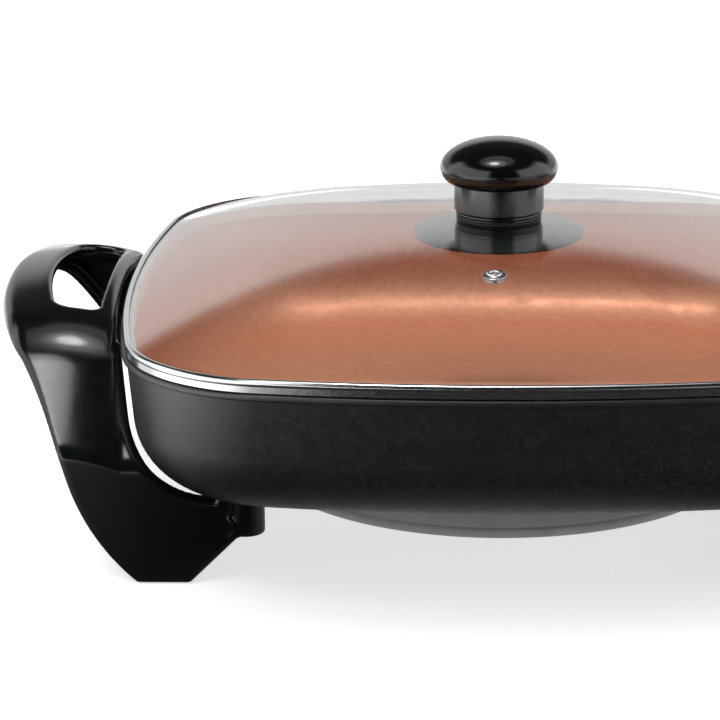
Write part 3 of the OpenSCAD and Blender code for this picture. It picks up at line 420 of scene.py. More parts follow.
def plastic(name, base, low, high, grain=900, depth=0.00001, coat=0.0, coat_rough=0.1, spec=0.5):
    """A moulded plastic, its roughness between low and high, its grain's depth in metres."""
    sh = Shader(name)
    lighter = tuple(min(c * 1.35 + 0.001, 1) for c in base)
    sh.colour(sh.noise(60, 4), [(0.3, base), (0.75, lighter)])
    sh.rough(sh.noise(180, 4), low, high)
    sh.bump(sh.noise(grain, 2), depth, 0.4)
    sh.put(Coat_Weight=coat, Coat_Roughness=coat_rough, Specular_IOR_Level=spec)
    return sh.mat


def metal(name, base, low, high):
    """A bare metal, its roughness between low and high."""
    sh = Shader(name)
    darker = tuple(c * 0.86 for c in base)
    sh.colour(sh.noise(90, 4), [(0.3, darker), (0.7, base)])
    sh.rough(sh.noise(700, 3), low, high)
    sh.bump(sh.noise(1400, 2), 0.000006, 0.3)
    sh.put(Metallic=1.0)
    return sh.mat


def copper_coat():
    """The pan's speckled copper coating."""
    sh = Shader("copper_coating")
    dark, middle, light = (0.69, 0.30, 0.170), (0.78, 0.36, 0.210), (0.86, 0.45, 0.29)
    sh.colour(sh.noise(420, 5, rough=0.7), [(0.3, dark), (0.55, middle), (0.8, light)])
    sh.rough(sh.noise(150, 3), 0.42, 0.50)
    sh.bump(sh.noise(1500, 3), 0.00002, 0.35)
    sh.put(Metallic=0.45)
    return sh.mat


def pan_black():
    """The pan's grained black coating."""
    sh = Shader("pan_black")
    dark, middle, light = (0.005, 0.006, 0.0066), (0.011, 0.0125, 0.0132), (0.046, 0.049, 0.05)
    sh.colour(sh.noise(700, 5, rough=0.7), [(0.3, dark), (0.55, middle), (0.8, light)])
    sh.rough(sh.noise(200, 3), 0.32, 0.42)
    sh.bump(sh.noise(1600, 3), 0.00003, 0.4)
    sh.put(Specular_IOR_Level=0.85)
    return sh.mat


def glass():
    """The dome's glass, which lets the light of lamps and surroundings straight through."""
    sh = Shader("dome_glass")
    sh.put(Base_Color=(1.0, 1.0, 1.0), Transmission_Weight=1.0, IOR=1.5)
    sh.rough(sh.noise(40, 3), 0.0, 0.015)
    sh.bump(sh.noise(7, 1), 0.0001, 0.15)
    clear = sh.add("ShaderNodeBsdfTransparent")
    clear.inputs["Color"].default_value = (0.96, 0.97, 0.968, 1)
    path = sh.add("ShaderNodeLightPath").outputs
    straight = sh.calc("MAXIMUM", path["Is Shadow Ray"], path["Is Diffuse Ray"])
    surface = mix_shader(sh, straight, sh.bsdf.outputs[0], clear.outputs[0])
    sh.link(surface, sh.out.inputs["Surface"])
    return sh.mat


M = {
    "handle": plastic("handle_plastic", (0.0022, 0.0032, 0.0035), 0.12, 0.17),
    "knob": plastic("knob_plastic", (0.0025, 0.0033, 0.0036), 0.09, 0.13, grain=500,
                    depth=0.000004),
    "neck": plastic("neck_plastic", (0.003, 0.004, 0.0042), 0.16, 0.2, grain=500, depth=0.000004,
                    spec=0.9),
    "copper": copper_coat(),
    "pan": pan_black(),
    "steel": metal("rim_steel", (0.72, 0.73, 0.74), 0.10, 0.20),
    "vent": metal("vent_steel", (0.82, 0.83, 0.84), 0.24, 0.32),
    "skirt": metal("skirt_steel", (0.86, 0.86, 0.85), 0.42, 0.52),
    "cover": metal("cover_steel", (0.50, 0.50, 0.51), 0.28, 0.40),
    "element": metal("element_steel", (0.24, 0.22, 0.21), 0.42, 0.58),
    "clip": metal("clip_steel", (0.55, 0.55, 0.56), 0.25, 0.4),
    "screw": metal("screw_steel", (0.6, 0.6, 0.62), 0.2, 0.32),
    "pin": metal("pin_steel", (0.68, 0.67, 0.64), 0.14, 0.24),
    "brass": metal("contact_brass", (0.66, 0.50, 0.24), 0.2, 0.32),
    "glass": glass(),
    "rubber": plastic("seal_rubber", (0.02, 0.02, 0.02), 0.6, 0.75, grain=600, depth=0.00003),
    "plate": plastic("plate_black", (0.012, 0.016, 0.018), 0.3, 0.4),
    "control": plastic("control_plastic", (0.012, 0.012, 0.013), 0.34, 0.44, grain=1300,
                       depth=0.00005),
    "dial": plastic("dial_plastic", (0.010, 0.010, 0.011), 0.2, 0.3),
    "carrier": plastic("carrier_plastic", (0.08, 0.045, 0.025), 0.4, 0.55),
    "ceramic": plastic("ceramic", (0.72, 0.69, 0.60), 0.45, 0.6, grain=500, depth=0.00004),
    "guard": plastic("guard_paint", (0.018, 0.018, 0.019), 0.35, 0.5, grain=800, depth=0.00003),
    "lens": plastic("lens_red", (0.35, 0.012, 0.008), 0.1, 0.16, coat=0.5, coat_rough=0.05),
    "print": plastic("print_white", (0.62, 0.62, 0.60), 0.4, 0.5),
    "lamp": plastic("lamp_orange", (0.75, 0.30, 0.12), 0.08, 0.14, coat=0.6, coat_rough=0.04),
}

# the material of each CAD node
DRESS = {
    "pan": "pan", "bottom_cover": "cover", "heating_element": "element", "element_clips": "clip",
    "terminal_insulators": "ceramic", "terminal_pins": "pin", "socket_guard": "guard",
    "probe_sleeve": "clip", "cover_stud": "screw", "cover_nut": "screw", "handle_left": "handle",
    "handle_right": "handle", "handle_screws": "screw", "lid_glass": "glass", "lid_rim": "steel",
    "vent_eyelet": "steel", "knob_cap": "knob", "knob_neck": "neck", "knob_seat_ring": "rubber",
    "knob_plate": "plate", "knob_screw": "screw", "control_lower_housing": "control",
    "control_upper_housing": "control", "control_screws": "screw", "probe_rod": "pin",
    "contact_carrier": "carrier", "contact_sleeves": "brass", "thermostat": "brass",
    "indicator_lamp": "lamp", "indicator_lens": "lens", "cord_gland": "rubber",
    "control_dial": "dial", "dial_shaft": "brass"}
for node, key in DRESS.items():
    for slot in NODES[node].material_slots:
        slot.material = M[key]


# ------------------------------------------------------------------ pan
def wall_x(g, z):
    """The pan's wall moved out by g, at the height z."""
    return -LIP_OUT - (PAN_RIM - z) * math.tan(DRAFT) + g / math.cos(DRAFT)


def bend_line(g, low):
    """The pan's bend moved out by g, from the plane z = low up to the wall."""
    r = BEND + g
    cz = low + r
    centre = (wall_x(g, cz) - r / math.cos(DRAFT), cz)
    return arc(centre, r, -90, -math.degrees(DRAFT), 14)


def pan_lip():
    """Section of the rolled lip, from the wall's outside over the top to its inside."""
    low = PAN_RIM - LIP_H
    root, edge, top = (-LIP_OUT, low), (0, low), (0, PAN_RIM)
    inner = (wall_x(-WALL, PAN_RIM), PAN_RIM)
    line = fillet(root, edge, top, 0.6, 4)
    line += fillet(edge, top, (-LIP_OUT, PAN_RIM), 0.9, 6)
    return line + fillet(top, inner, (inner[0] - 0.5, PAN_RIM - 6), 0.8, 4)


def flat_middle(z):
    """Rows that shrink to the centre at the height z."""
    n = len(RING_R)
    edge = ring(-FLAT_IN)
    rows = [np.c_[edge * k, np.full(n, z)] for k in (1, 0.75, 0.5, 0.25, 0.06)]
    hub = tuple(range((len(rows) - 1) * n, len(rows) * n))
    return np.vstack(rows), strip_faces(len(rows), n) + [hub]


def build_pan():
    black, copper = range(2)
    lip_low = PAN_RIM - LIP_H
    outer = [(-FLAT_IN, BASE_Z)] + bend_line(0, BASE_Z) + [(wall_x(0, lip_low), lip_low)]
    lip = pan_lip()
    inner = bend_line(-WALL, FLOOR_TOP)[::-1] + [(-FLAT_IN, FLOOR_TOP)]
    wall = sweep(outer + lip + inner, closed=False)
    n = len(RING_R)
    # the copper starts within the rounding at the lip's inner edge
    zones = [black] * ((len(outer) + len(lip) - 4) * n)
    zones += [copper] * (len(wall[1]) - len(zones))
    base, base_faces = flat_middle(BASE_Z)
    parts = [wall, (base, [q[::-1] for q in base_faces]), flat_middle(FLOOR_TOP)]
    zones += [black] * len(base_faces) + [copper] * len(parts[2][1])
    bore_r, stud_r, low = 1.8, 3.4, BASE_Z - STUD_L
    stud = [(bore_r, low + 9), (bore_r, low), (stud_r - 0.4, low), (stud_r, low + 0.4),
            (stud_r, BASE_Z + 0.5)]
    parts += [lathe(stud, 32, (sx * BOSS_X, sy * BOSS_Y)) for sx in (-1, 1) for sy in (-1, 1)]
    post_r, post_z = 5, BASE_Z - 3
    parts.append(lathe([(0.01, post_z), (post_r, post_z), (post_r, BASE_Z + 0.5)], 32))
    zones += [black] * sum(len(f) for _, f in parts[3:])
    ob = make("pan_shell", *join(*parts), [M["pan"], M["copper"]], index=zones)
    stand_for(ob, "skillet", "pan_black", "pan")


build_pan()


# ------------------------------------------------------------------ lid
def build_rim():
    """The steel band: a bead over the glass, a face, a foot and the locating skirt inside."""
    foot, t, face_x, skirt_x, skirt_l = RIM_FOOT, 0.7, -0.4, -4.9, 5.5
    bead_r = 1.6
    bead = (-bead_r, RIM_TOP - bead_r)
    hook_x, hook_z, hook_end = -1.65, 96.65, 97.2
    a0 = -math.degrees(math.acos((face_x - bead[0]) / bead_r))
    a1 = 180 - math.degrees(math.asin((hook_end - bead[1]) / bead_r))
    profile = [(face_x - 0.3, foot), (face_x, foot + 0.3)] + arc(bead, bead_r, a0, a1, 20)
    profile += [(hook_x, hook_z), (hook_x, foot + t), (skirt_x - t, foot + t),
                (skirt_x - t, foot - skirt_l), (skirt_x, foot - skirt_l), (skirt_x, foot)]
    v, f = sweep([(x - SETBACK, z) for x, z in profile])
    skirt_rows = 5
    zones = np.repeat([0, 1], np.array([len(profile) - skirt_rows, skirt_rows]) * len(RING_R))
    ob = make("rim_band", v, f, [M["steel"], M["skirt"]], index=zones.tolist())
    stand_for(ob, "lid", "rim_steel", "lid_rim")


build_rim()


def dome(share):
    """Height of the glass over its edge, at a share of the way out from the middle."""
    return RISE * (1 - share ** POWER)


def glass_ring(share):
    """The glass's outline at that share, which turns into a circle towards the middle."""
    edge = ring(GLASS_HALF - PAN_HALF)
    a = np.arctan2(edge[:, 1], edge[:, 0])
    b = share ** 0.6
    circle = GLASS_HALF * np.stack([np.cos(a), np.sin(a)], 1)
    return share * (b * edge + (1 - b) * circle)


def build_glass():
    shares = [1, 0.992, 0.98, 0.965] + list(np.linspace(0.945, 0.03, 40))
    top_z, n, chamfer = GLASS_EDGE + GLASS_T, len(RING_R), 0.5
    edge = ring(GLASS_HALF - PAN_HALF)
    inset = ring(GLASS_HALF - PAN_HALF - 0.4)
    top = [np.c_[glass_ring(s), np.full(n, top_z + dome(s))] for s in shares]
    low = [r - [0, 0, GLASS_T] for r in top]
    side = [np.c_[edge, np.full(n, z)] for z in (top_z - chamfer, GLASS_EDGE + chamfer)]
    top[0] = np.c_[inset, np.full(n, top_z)]
    low[0] = np.c_[inset, np.full(n, GLASS_EDGE)]
    loop = top[::-1] + side + low
    ob = make("dome_pane", np.vstack(loop), strip_faces(len(loop), n, closed=True), M["glass"])
    stand_for(ob, "lid", "lid_glass", "lid_glass")


build_glass()


def build_knob():
    widest, cap_r, crown_h, belly_r, belly_h = 143.2, 23.7, 11.6, 5.3, 6.2
    flat_r = cap_r - belly_r
    belly = [(flat_r + belly_r * math.cos(a), widest - belly_h * math.sin(a))
             for a in np.linspace(math.pi / 2, 0, 16)[:-1]]
    crown = [(cap_r * math.cos(a), widest + crown_h * math.sin(a))
             for a in np.linspace(0, math.pi / 2, 40)]
    tip = 0.02
    crown[-1] = (tip, crown[-1][1])
    v, f = lathe([(tip, widest - belly_h)] + belly + crown, 160)
    stand_for(make("knob_crown", v, f, M["knob"], sharp=60), "lid", "knob_plastic", "knob_cap")

    # the neck, with a ring line between two grooves at its foot
    z, r, height, inner_r = 123.6, 18.1, 15.3, 2
    line = [(inner_r, z), (r - 1.0, z), (r - 0.7, z + 0.25), (r - 0.7, z + 0.7),
            (r - 1.25, z + 0.9)]
    line += arc((r - 1.15, z + 1.45), 0.5, -80, 80, 8)
    line += [(r - 1.25, z + 2.0), (r - 1.2, z + 2.2), (r - 0.3, z + 2.4), (r, z + 2.8),
             (r, z + height), (inner_r, z + height)]
    v, f = lathe(line, 160)
    stand_for(make("knob_stem", v, f, M["neck"]), "lid", "knob_plastic", "knob_neck")

    bore_r, seat_r, seat_t = 4, 17.1, 1.45
    line = [(bore_r, SEAT_Z), (seat_r - 0.4, SEAT_Z), (seat_r, SEAT_Z + 0.35),
            (seat_r, SEAT_Z + seat_t - 0.3), (seat_r - 0.3, SEAT_Z + seat_t),
            (bore_r, SEAT_Z + seat_t)]
    v, f = lathe(line, 120)
    stand_for(make("knob_seat", v, f, M["rubber"]), "lid", "seal_rubber", "knob_seat_ring")


build_knob()


def build_plate():
    """The plate under the glass, dished with a flat middle."""
    top = 1000 * Vector(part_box("knob_plate")[1]).z
    t, bore_r, flat_r, rim_r, dish = 1.2, 2.5, 11, 34.2, 3.8
    upper = [(flat_r + (rim_r - flat_r) * k, top - dish * k ** 1.3) for k in np.linspace(0, 1, 12)]
    line = [(bore_r, top)] + upper
    line += [(rim_r + 0.2, top - dish - 0.3), (rim_r + 0.1, top - dish - t)]
    line += [(x - 0.3, z - t) for x, z in upper[-2::-1]] + [(bore_r, top - t)]
    v, f = lathe(line, 144)
    stand_for(make("under_plate", v, f, M["plate"]), "lid", "plate_black", "knob_plate")


build_plate()


def build_vent():
    """The eyelet, rolled over at the top and flared under the glass, square to the dome."""
    bore_r, low, n = 1.5, -4.3, 64
    line = [(bore_r, low), (bore_r + 0.1, 0.5)] + arc((2.2, 0.62), 0.58, 190, 20, 12)
    line += [(2.95, 0.62), (3.6, 0.46), (4.3, 0.32), (4.6, 0.24), (4.66, 0.15), (4.5, 0.06),
             (3.1, 0.06), (3.1, -3.55), (3.7, -3.6), (3.9, -3.9), (3.7, -4.2), (3.2, low)]
    v, f = lathe(line, n)
    last = n * (len(line) - 1)
    f += [(k, (k + 1) % n, last + (k + 1) % n, last + k) for k in range(n)]
    share = -VENT_Y / GLASS_HALF
    slope = RISE * POWER / GLASS_HALF * share ** (POWER - 1)
    turn = Matrix.Rotation(math.atan(slope), 3, "X")
    v = v @ np.array(turn.transposed()) + [VENT_X, VENT_Y, GLASS_EDGE + GLASS_T + dome(share)]
    stand_for(make("vent_ring", v, f, M["vent"], sharp=50), "lid", "rim_steel", "vent_eyelet")


build_vent()


# ------------------------------------------------------------------ handles
def arch_line(t):
    """Side view of the handle's arch, thinned by t: legs, straight shoulders, gentle crown."""
    m, y = math.tan(SHOULDER), LEG_Y - t
    knee = (y, KNEE_Z - t * (1 / math.cos(SHOULDER) - m))
    rise = 2 * (knee[1] + y * m - (CROWN_Z - t)) / CROWN_R
    crest = CROWN_R * (m - math.sqrt(m * m - rise))
    r = max(SHOULDER_R - t, 5)
    meet = crest - r * math.tan((SHOULDER - math.atan(crest / CROWN_R)) / 2)

    def top(v):
        return (v, CROWN_Z - t - v * v / (2 * CROWN_R))

    half = [(y, -20)] + fillet((y, 0), knee, top(crest), max(KNEE_R - t, 4), 10)
    half += fillet(knee, top(crest), top(meet), r, 12)
    half += [top(meet * (1 - i / 24)) for i in range(1, 25)]
    return half + [(-a, b) for a, b in half[-2::-1]]


def front_line():
    """Front view of the left handle, open at the top."""
    foot_out, foot_in, ramp_end = -139.9, -119.9, -100.45
    calf, shin = (-166.6, 42), (-169.1, 50.7)
    hip, brow = (-185.7, 83.3), (-REACH, 93.2)
    inside, ramp_top, ramp_low, over = -106.5, 31, (-102, 25), 130
    thigh = bulge(hip, shin, 140, 20)[::-1]
    out = bulge((foot_out, 0), calf, 86, 24) + thigh[:-3]
    out += fillet(thigh[-4], hip, brow, 12, 10)
    out += fillet(hip, brow, (-REACH, 100), 3.6, 8)
    out += [(-REACH, over), (inside, over), (inside, ramp_top), ramp_low]
    out += fillet(ramp_low, (ramp_low[0], BOSS_Z), (foot_in, BOSS_Z), 2.5, 6)
    return out + [(ramp_end, BOSS_Z), (foot_in, 0)]


def hole_line():
    """The left handle's hand hole, seen from above."""
    outside, inside, half_l = -180.5, -157.8, 46.2
    bow_r, bow_end, corner = 175, 36, (-174.4, half_l)
    half = [(outside + y * y / (2 * bow_r), y) for y in np.linspace(0, bow_end, 10)]
    half += fillet((-176.8, bow_end), corner, (inside, half_l), 9.1, 10)
    half += fillet(corner, (inside, half_l), (inside, 0), 5, 8)
    return half + [(a, -b) for a, b in half[:0:-1]]


def pan_room(xy, z):
    """Distance to the room of pan and lid with the handle's gap round it.

    It is read from a table over the distance from the pan's outline and the height."""
    far, top, cell, lid_gap = 90, 160, 0.5, 1.7
    shelf = PAN_RIM - LIP_H - 3
    room = [(-far, BASE_Z - BASE_GAP)] + bend_line(PAN_GAP, BASE_Z - BASE_GAP)
    room += [(wall_x(PAN_GAP, shelf), shelf), (lid_gap, shelf), (lid_gap, top), (-far, top)]
    d = np.arange(-far, 80, cell)
    grid = poly_dist(*np.meshgrid(d, z, indexing="ij"), room)
    at = (poly_dist(*xy, ring(0)) + far) / cell
    i = np.clip(at.astype(int), 0, len(d) - 2)
    f = (at - i)[:, :, None]
    return grid[i] * (1 - f) + grid[i + 1] * f


def boxed(x, y, z, low, high):
    """Distance to a box; each side of it counts by itself."""
    sides = [np.maximum(a - v, v - b) for v, a, b in zip((x, y, z), low, high)]
    return np.maximum(np.maximum(sides[0], sides[1]), sides[2])


def handle_skin(step):
    """The left handle's surface; its back half is the front half mirrored."""
    low = np.array([-203.0, -99.0, -3.0])
    nx, ny, nz = int(116 / step), int(-low[1] / step) + 1, int(108 / step)
    x = low[0] + np.arange(nx) * step
    y = np.arange(ny) * step
    z = low[2] + np.arange(nz) * step
    xz = np.meshgrid(x, z, indexing="ij")
    xy = np.meshgrid(x, y, indexing="ij")
    X, Y, Z = x[:, None, None], y[None, :, None], z[None, None, :]

    def table(values, start, at):
        """Values over a last axis that starts at start, read at other places."""
        f = np.clip((at - start) / step, 0, values.shape[-1] - 1.001)
        i = f.astype(int)
        row = np.arange(values.shape[0])[None, :, None]
        return values[row, i] * (1 - f + i) + values[row, i + 1] * (f - i)

    # the arch's section, sunk towards both edges of the grip
    u = (X - GRIP_MID) / GRIP_HALF
    sink_out, sink_in, sink_room = 2.5, 3.5, 8
    sunk = Z + np.where(u < 0, sink_out, sink_in) * np.clip(u, -1, 1.3) ** 2 + 0 * Y
    tall = low[2] + np.arange(nz + int(sink_room / step)) * step
    yz = np.meshgrid(y, tall, indexing="ij")
    outer, thin, deep = (table(poly_dist(*yz, arch_line(t)), low[2], sunk)
                         for t in (0, SHELL_T, FLANGE_T))
    front = poly_dist(*xz, front_line())[:, None, :]
    inner = poly_dist(xz[0] - FACE_T, xz[1], front_line())[:, None, :]
    bow_r = 205
    lean = np.sqrt(1 + (Y / bow_r) ** 2)
    bow = (-REACH + Y * Y / (2 * bow_r) - X) / lean
    hole = poly_dist(*xy, hole_line())[:, :, None]

    # edges are rounder up at the grip, and sharper at the foot
    grip = np.clip((Z - 62) / 30, 0, 1)
    low_end = np.clip((34 - Z) / 4, 0, 1)
    solid = both(both(front, bow, 3), outer, 1.8 + 3.4 * grip)
    solid = both(solid, -pan_room(xy, z), 3.2 - 2.0 * low_end)
    hollow = both(thin, either(deep, np.maximum(inner, bow + FACE_T / lean), 1.0), 1.0)
    solid = both(solid, -hollow, 0.7)
    solid = both(solid, -hole, 2.2)

    r = np.hypot(X + BOSS_X, Y - BOSS_Y)
    boss = both(r - BOSS_R, np.maximum(BOSS_Z - Z, Z - BASE_Z), 0.6)
    peg = boxed(X, Y, Z, (PEG_X[0], PEG_Y[0], BASE_Z - PEG_L), (PEG_X[1], PEG_Y[1], BASE_Z))
    solid = either(either(solid, boss, 1.0), peg, 0.5)
    socket = (3.7, BASE_Z - STUD_L - 0.3, 60)
    screw_bore, head_recess = (2.1, 0, 60), (4.4, 0, 22.4)
    for radius, z0, z1 in (socket, screw_bore, head_recess):
        solid = np.maximum(solid, -np.maximum(r - radius, np.maximum(z0 - Z, Z - z1)))
    solid = both(solid, -Z, 0.8)
    full = np.concatenate([solid[:, :0:-1], solid], 1)
    return skin(full, np.array([low[0], -(ny - 1) * step, low[2]]), step)


def build_handles():
    data = handle_skin(1.0)
    for name, flip in (("left", False), ("right", True)):
        ob = skin_object("grip_" + name, data, M["handle"], flip)
        stand_for(ob, "skillet", "handle_plastic", "handle_" + name)


build_handles()


# ------------------------------------------------------------------ heat control
def control_line():
    """Side view of the housing: a low nose, a sloping step and the deck with the dial."""
    corners = [(CONTROL_X, CONTROL_Z), (CONTROL_END, CONTROL_Z), (CONTROL_END, DECK - 8),
               (CONTROL_END - 6, DECK), (DECK_START, DECK), (NOSE_END, NOSE), (CONTROL_X, NOSE)]
    step_foot = corners.index((NOSE_END, NOSE))
    line = []
    for k, p in enumerate(corners):
        r = 5 if k == step_foot else CONTROL_R
        line += fillet(corners[k - 1], p, corners[(k + 1) % len(corners)], r, 8)
    return line


def finger_ribs(X, Z):
    """How far the sides fall back between the finger ribs."""
    start, end, pitch, low, high = 160, 187, 4.5, 26, 44
    ribs = 0.4 * (1 - np.cos((X - start) * 2 * math.pi / pitch)) * ((X > start) & (X < end))
    return ribs * np.clip((Z - low) / 2, 0, 1) * np.clip((high - Z) / 2, 0, 1)


def build_control():
    """Both housings: one shell, hollow, pierced and cut in two at the seam."""
    step, margin = 0.8, 2
    low = np.array([CONTROL_X, -CONTROL_HALF, CONTROL_Z]) - margin
    high = np.array([CONTROL_END, CONTROL_HALF, DECK]) + margin
    n = np.ceil((high - low) / step).astype(int) + 1
    x, y, z = (low[k] + np.arange(n[k]) * step for k in range(3))
    X, S, Z = x[:, None, None], y[None, :, None], z[None, None, :]
    Y = np.abs(S)
    side = poly_dist(*np.meshgrid(x, z, indexing="ij"), control_line())[:, None, :]
    body = both(side, Y - CONTROL_HALF + finger_ribs(X, Z), 5)
    room = both(side + 2.2, Y - CONTROL_HALF + 3.2, 3)
    shell = both(body, -room, 0.3)
    posts = np.minimum(*(np.hypot(X - at, Y - SCREW_Y) for at in SCREW_X))
    shell = np.minimum(shell, np.maximum(posts - 3.6, side + 1) + 0 * Z)

    first, last = (1000 * v for v in map(Vector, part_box("contact_carrier")))
    window = np.maximum(np.maximum(X - CONTROL_X - 4, Y - last.y + 0.8),
                        np.maximum(first.z + 0.8 - Z, Z - last.z - 0.2))
    deck_low = DECK - 8 - Z
    holes = [np.maximum(posts - 1.45, Z - 33),  # the screws' bores and their heads' recesses
             np.maximum(posts - 2.9, Z - 12.1),
             window,
             np.maximum(np.hypot(S, Z - GLAND_Z) - 5.35, CONTROL_END - 8 - X),
             np.maximum(np.hypot(X - DIAL_X, S) - 3.2, deck_low),
             np.maximum(np.hypot(X - LAMP_X, S - LAMP_Y) - 3.25, deck_low)]
    for hole in holes:
        shell = both(shell, -hole, 0.25)
    gap = 0.15
    for name, cut in (("upper", SEAM + gap - Z), ("lower", Z - SEAM + gap)):
        half = skin(both(shell, cut + 0 * X, 0.4), low, step)
        ob = skin_object("heat_" + name, half, M["control"])
        stand_for(ob, "heat_control", "control_plastic", "control_%s_housing" % name)


def build_dial():
    """The dial's cap: a skirt, a grip with ribs and a flat top over the shaft's socket."""
    n, ribs, skirt_r, grip_r, socket_r, tip = 240, 24, 15, 12.4, 3.05, 0.02
    a = np.arange(n) * 2 * math.pi / n
    rib = (0.5 + 0.5 * np.cos(ribs * a)) ** 2
    # radius, height over the deck, and how far the ribs stand out there
    line = [(tip, 6, 0), (socket_r, 6, 0), (socket_r, 0, 0), (skirt_r - 0.4, 0, 0),
            (skirt_r, 0.4, 0), (skirt_r, 1.2, 0), (skirt_r - 0.4, 1.7, 0), (13.2, 2.1, 0),
            (12.5, 2.5, 0.4), (grip_r, 3, 0.7), (grip_r, 6, 0.7), (12.2, 6.8, 0.5),
            (11.8, 7.4, 0.2), (11.2, 7.8, 0), (10.6, 7.9, 0), (10.2, 7.8, 0), (tip, 7.8, 0)]
    v = np.vstack([np.c_[DIAL_X + (r + k * rib) * np.cos(a), (r + k * rib) * np.sin(a),
                         np.full(n, DIAL_Z + h)] for r, h, k in line])
    ob = make("dial_cap", v, strip_faces(len(line), n), M["dial"], sharp=40)
    stand_for(ob, "dial", "dial_plastic", "control_dial")


def label_mesh(text):
    """Points and faces of a printed word, centred on its own middle."""
    data = bpy.data.curves.new("label", "FONT")
    data.body, data.size, data.extrude = text, 3.1, 0.03
    data.align_x, data.align_y, data.resolution_u = "CENTER", "CENTER", 4
    label = bpy.data.objects.new("label", data)
    mesh = label.to_mesh()
    points = np.array([q.co for q in mesh.vertices]) * [0.9, 1, 1]
    faces = [tuple(f.vertices) for f in mesh.polygons]
    label.to_mesh_clear()
    bpy.data.objects.remove(label)
    return points, faces


def build_print():
    """The dial's numbers and, on the housing, the mark that they are read at."""
    apart, ring_r, height = math.radians(48), 8.3, DIAL_Z + 7.83
    parts = []
    for k, text in enumerate(("OFF", "200", "250", "300", "350", "400")):
        pts, faces = label_mesh(text)
        out = math.pi + apart * k
        c, s = math.sin(out), -math.cos(out)
        pts = np.c_[DIAL_X + ring_r * math.cos(out) + pts[:, 0] * c - pts[:, 1] * s,
                    ring_r * math.sin(out) + pts[:, 0] * s + pts[:, 1] * c, height + pts[:, 2]]
        parts.append((pts, faces))
    stand_for(make("dial_numbers", *join(*parts), M["print"]), "dial", "dial_plastic")
    mark = [(161.6, 0), (159.3, -1.2), (159.3, 1.2)]
    v = [(*q, DECK - 0.1) for q in mark] + [(*q, DECK) for q in mark]
    ob = make("dial_mark", v, strip_faces(2, 3) + [(0, 1, 2), (5, 4, 3)], M["print"])
    stand_for(ob, "heat_control", "control_plastic")


build_control()
build_dial()
build_print()


# ------------------------------------------------------------------ camera
def place_camera():
    """The camera solved from the photograph; places in metres, angles in radians."""
    azimuth, tilt, roll = 0.0381, 0.2958, -0.0093
    place = Vector((-0.01225, -1.1662, 0.4173))
    back = Vector((math.sin(azimuth) * math.cos(tilt), -math.cos(azimuth) * math.cos(tilt),
                   math.sin(tilt)))
    level = Vector((math.cos(azimuth), math.sin(azimuth), 0))
    up = back.cross(level)
    right = level * math.cos(roll) + up * math.sin(roll)
    above = -level * math.sin(roll) + up * math.cos(roll)
    data = bpy.data.cameras.new("camera")
    data.lens, data.sensor_width = 148.46, 36
    data.clip_start, data.clip_end = 0.05, 50
    cam = bpy.data.objects.new("camera", data)
    bpy.context.scene.collection.objects.link(cam)
    m = Matrix((right, above, back)).transposed().to_4x4()
    m.translation = place
    cam.matrix_world = m
    bpy.context.scene.camera = cam


place_camera()


# ------------------------------------------------------------------ light
MIDDLE = (0, 0, 0.07)  # of the object, in metres
LEFT_SLOPE = (-0.183, -0.080, 0.075)  # the slope below the left grip


def area(name, direction, distance, size, radiance, target=MIDDLE, spread=math.pi):
    """A soft lamp seen from its target in that direction, with its radiance straight ahead."""
    data = bpy.data.lights.new(name, "AREA")
    data.shape = "ELLIPSE"
    data.size, data.size_y = size
    data.energy = radiance * math.pi * size[0] * size[1] * math.pi / 4
    if spread < math.pi:
        data.spread = spread
        data.energy *= 1 - spread / 2 / math.tan(spread / 2)
    ob = bpy.data.objects.new(name, data)
    bpy.context.scene.collection.objects.link(ob)
    d = Vector(direction).normalized()
    ob.location = Vector(target) + d * distance
    ob.rotation_euler = d.to_track_quat("Z", "Y").to_euler()


area("overhead", (-0.09, -0.06, 1), 1.5, (0.28, 0.28), 14)
area("overhead_glow", (-0.07, -0.06, 1), 1.5, (0.62, 0.62), 1.7)
area("overhead_wide", (-0.05, 0.02, 1), 1.55, (1.2, 1.0), 0.7)
area("left_box", (-0.17, -0.53, 0.83), 0.36, (0.18, 0.20), 12, LEFT_SLOPE, 0.6)


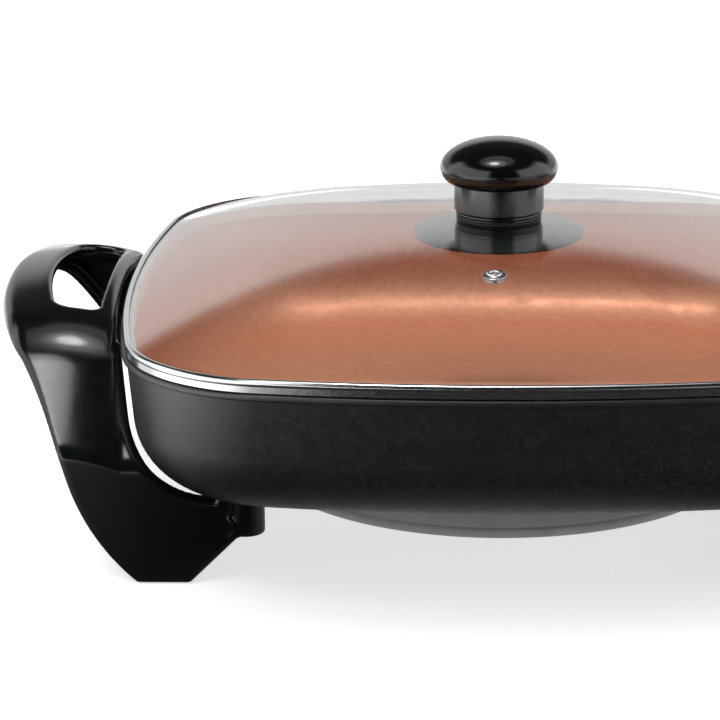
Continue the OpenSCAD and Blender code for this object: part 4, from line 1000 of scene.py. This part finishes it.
def build_world():
    """One level each for soft light, for mirrors, for what glass shows and for the camera."""
    world = bpy.data.worlds.new("studio")
    bpy.context.scene.world = world
    world.use_nodes = True
    world.cycles.sampling_method = "NONE"
    g = Graph(world.node_tree)
    g.tree.nodes.clear()
    split = g.add("ShaderNodeSeparateXYZ")
    g.link(g.add("ShaderNodeTexCoord").outputs["Generated"], split.inputs[0])
    x, y, z = split.outputs
    # mirrors: a panel on each side of the front, the white background behind, the rest dark
    turn = g.calc("ARCTAN2", x, g.calc("MULTIPLY", y, -1))
    angle = g.calc("ABSOLUTE", turn)
    sides = g.calc("MAXIMUM", g.soft(turn, 0.62, 0.8), g.soft(turn, -0.28, -0.45))
    sides = g.calc("MULTIPLY", sides, g.soft(angle, 2.2, 1.95))
    sides = g.calc("MULTIPLY", sides, g.soft(z, 0.8, 0.62))
    fade = ((0.27, 1), (0.35, 0.8), (0.40, 0.32), (0.45, 0.05), (0.8, 0))
    back = g.ramp(z, [(at, (grey,) * 3) for at, grey in fade])
    back = g.calc("MULTIPLY", back, g.soft(angle, 1.95, 2.2))
    panel, dark = 2.3, 0.03
    mirror = g.calc("ADD", g.calc("ADD", g.calc("MULTIPLY", sides, panel), back), dark)
    fill = g.remap(g.calc("MULTIPLY", z, z), 0, 1, 0.16, 1.5)
    through = g.calc("MAXIMUM", g.soft(z, 0.26, 0.1), g.calc("MINIMUM", mirror, 1))
    levels = [g.add("ShaderNodeBackground") for _ in range(4)]
    for level, strength in zip(levels, (fill, mirror, through)):
        g.link(strength, level.inputs["Strength"])
    path = g.add("ShaderNodeLightPath").outputs
    shader = levels[0].outputs[0]
    for key, level in zip(("Is Glossy Ray", "Is Transmission Ray", "Is Camera Ray"), levels[1:]):
        shader = mix_shader(g, path[key], shader, level.outputs[0])
    g.link(shader, g.add("ShaderNodeOutputWorld").inputs["Surface"])


build_world()


def build_floor():
    """The white floor, which keeps the object's shadow; distances in metres."""
    mesh = bpy.data.meshes.new("floor")
    s = 6
    mesh.from_pydata([(-s, -s, 0), (s, -s, 0), (s, s, 0), (-s, s, 0)], [], [(0, 1, 2, 3)])
    sh = Shader("floor")
    path = sh.add("ShaderNodeLightPath").outputs
    split = sh.add("ShaderNodeSeparateXYZ")
    sh.link(sh.coords, split.inputs[0])
    x, y, _ = split.outputs
    away = sh.add("ShaderNodeVectorMath", operation="LENGTH")
    sh.link(sh.coords, away.inputs[0])
    # in mirrors: white behind the object, dim in front, and pale beside and right under it, where
    # the floor glows for glossy rays only: painted reflection light, no lamp's, that outshines the
    # object's shadow there
    painted_glow_under = sh.calc("MULTIPLY", sh.soft(away.outputs["Value"], 0.19, 0.09), 0.35)
    # part of the painted glow: a patch to the left of the object and in front of it
    left = sh.calc("MULTIPLY", sh.soft(x, -0.12, -0.34), sh.soft(y, 0.0, -0.14))
    painted_glow_beside = sh.soft(sh.calc("ABSOLUTE", x), 0.22, 0.4)
    painted_glow_beside = sh.calc("ADD", painted_glow_beside, sh.calc("MULTIPLY", left, 1.4))
    behind = sh.calc("MULTIPLY", sh.soft(y, 0.1, 0.5), 0.8)
    base = sh.add("ShaderNodeMix", data_type="FLOAT")
    base.inputs["A"].default_value = 0.85
    sh.link(path["Is Glossy Ray"], base.inputs["Factor"])
    sh.link(sh.calc("ADD", behind, 0.035), base.inputs["B"])
    sh.link(base.outputs["Result"], sh.bsdf.inputs["Base Color"])
    seen = sh.calc("MAXIMUM", path["Is Camera Ray"], path["Is Transmission Ray"])
    # the painted reflection glow, seen by glossy rays only
    painted_reflection_glow = sh.calc("MULTIPLY", sh.calc("ADD", painted_glow_under, painted_glow_beside), path["Is Glossy Ray"])
    glow = sh.calc("ADD", sh.calc("MULTIPLY", seen, 0.66), painted_reflection_glow)
    sh.link(glow, sh.bsdf.inputs["Emission Strength"])
    sh.put(Roughness=1.0, Specular_IOR_Level=0.0, Emission_Color=(1.0, 1.0, 1.0))
    mesh.materials.append(sh.mat)
    floor = bpy.data.objects.new("floor", mesh)
    bpy.context.scene.collection.objects.link(floor)


build_floor()

bpy.context.scene.view_settings.view_transform = "Standard"
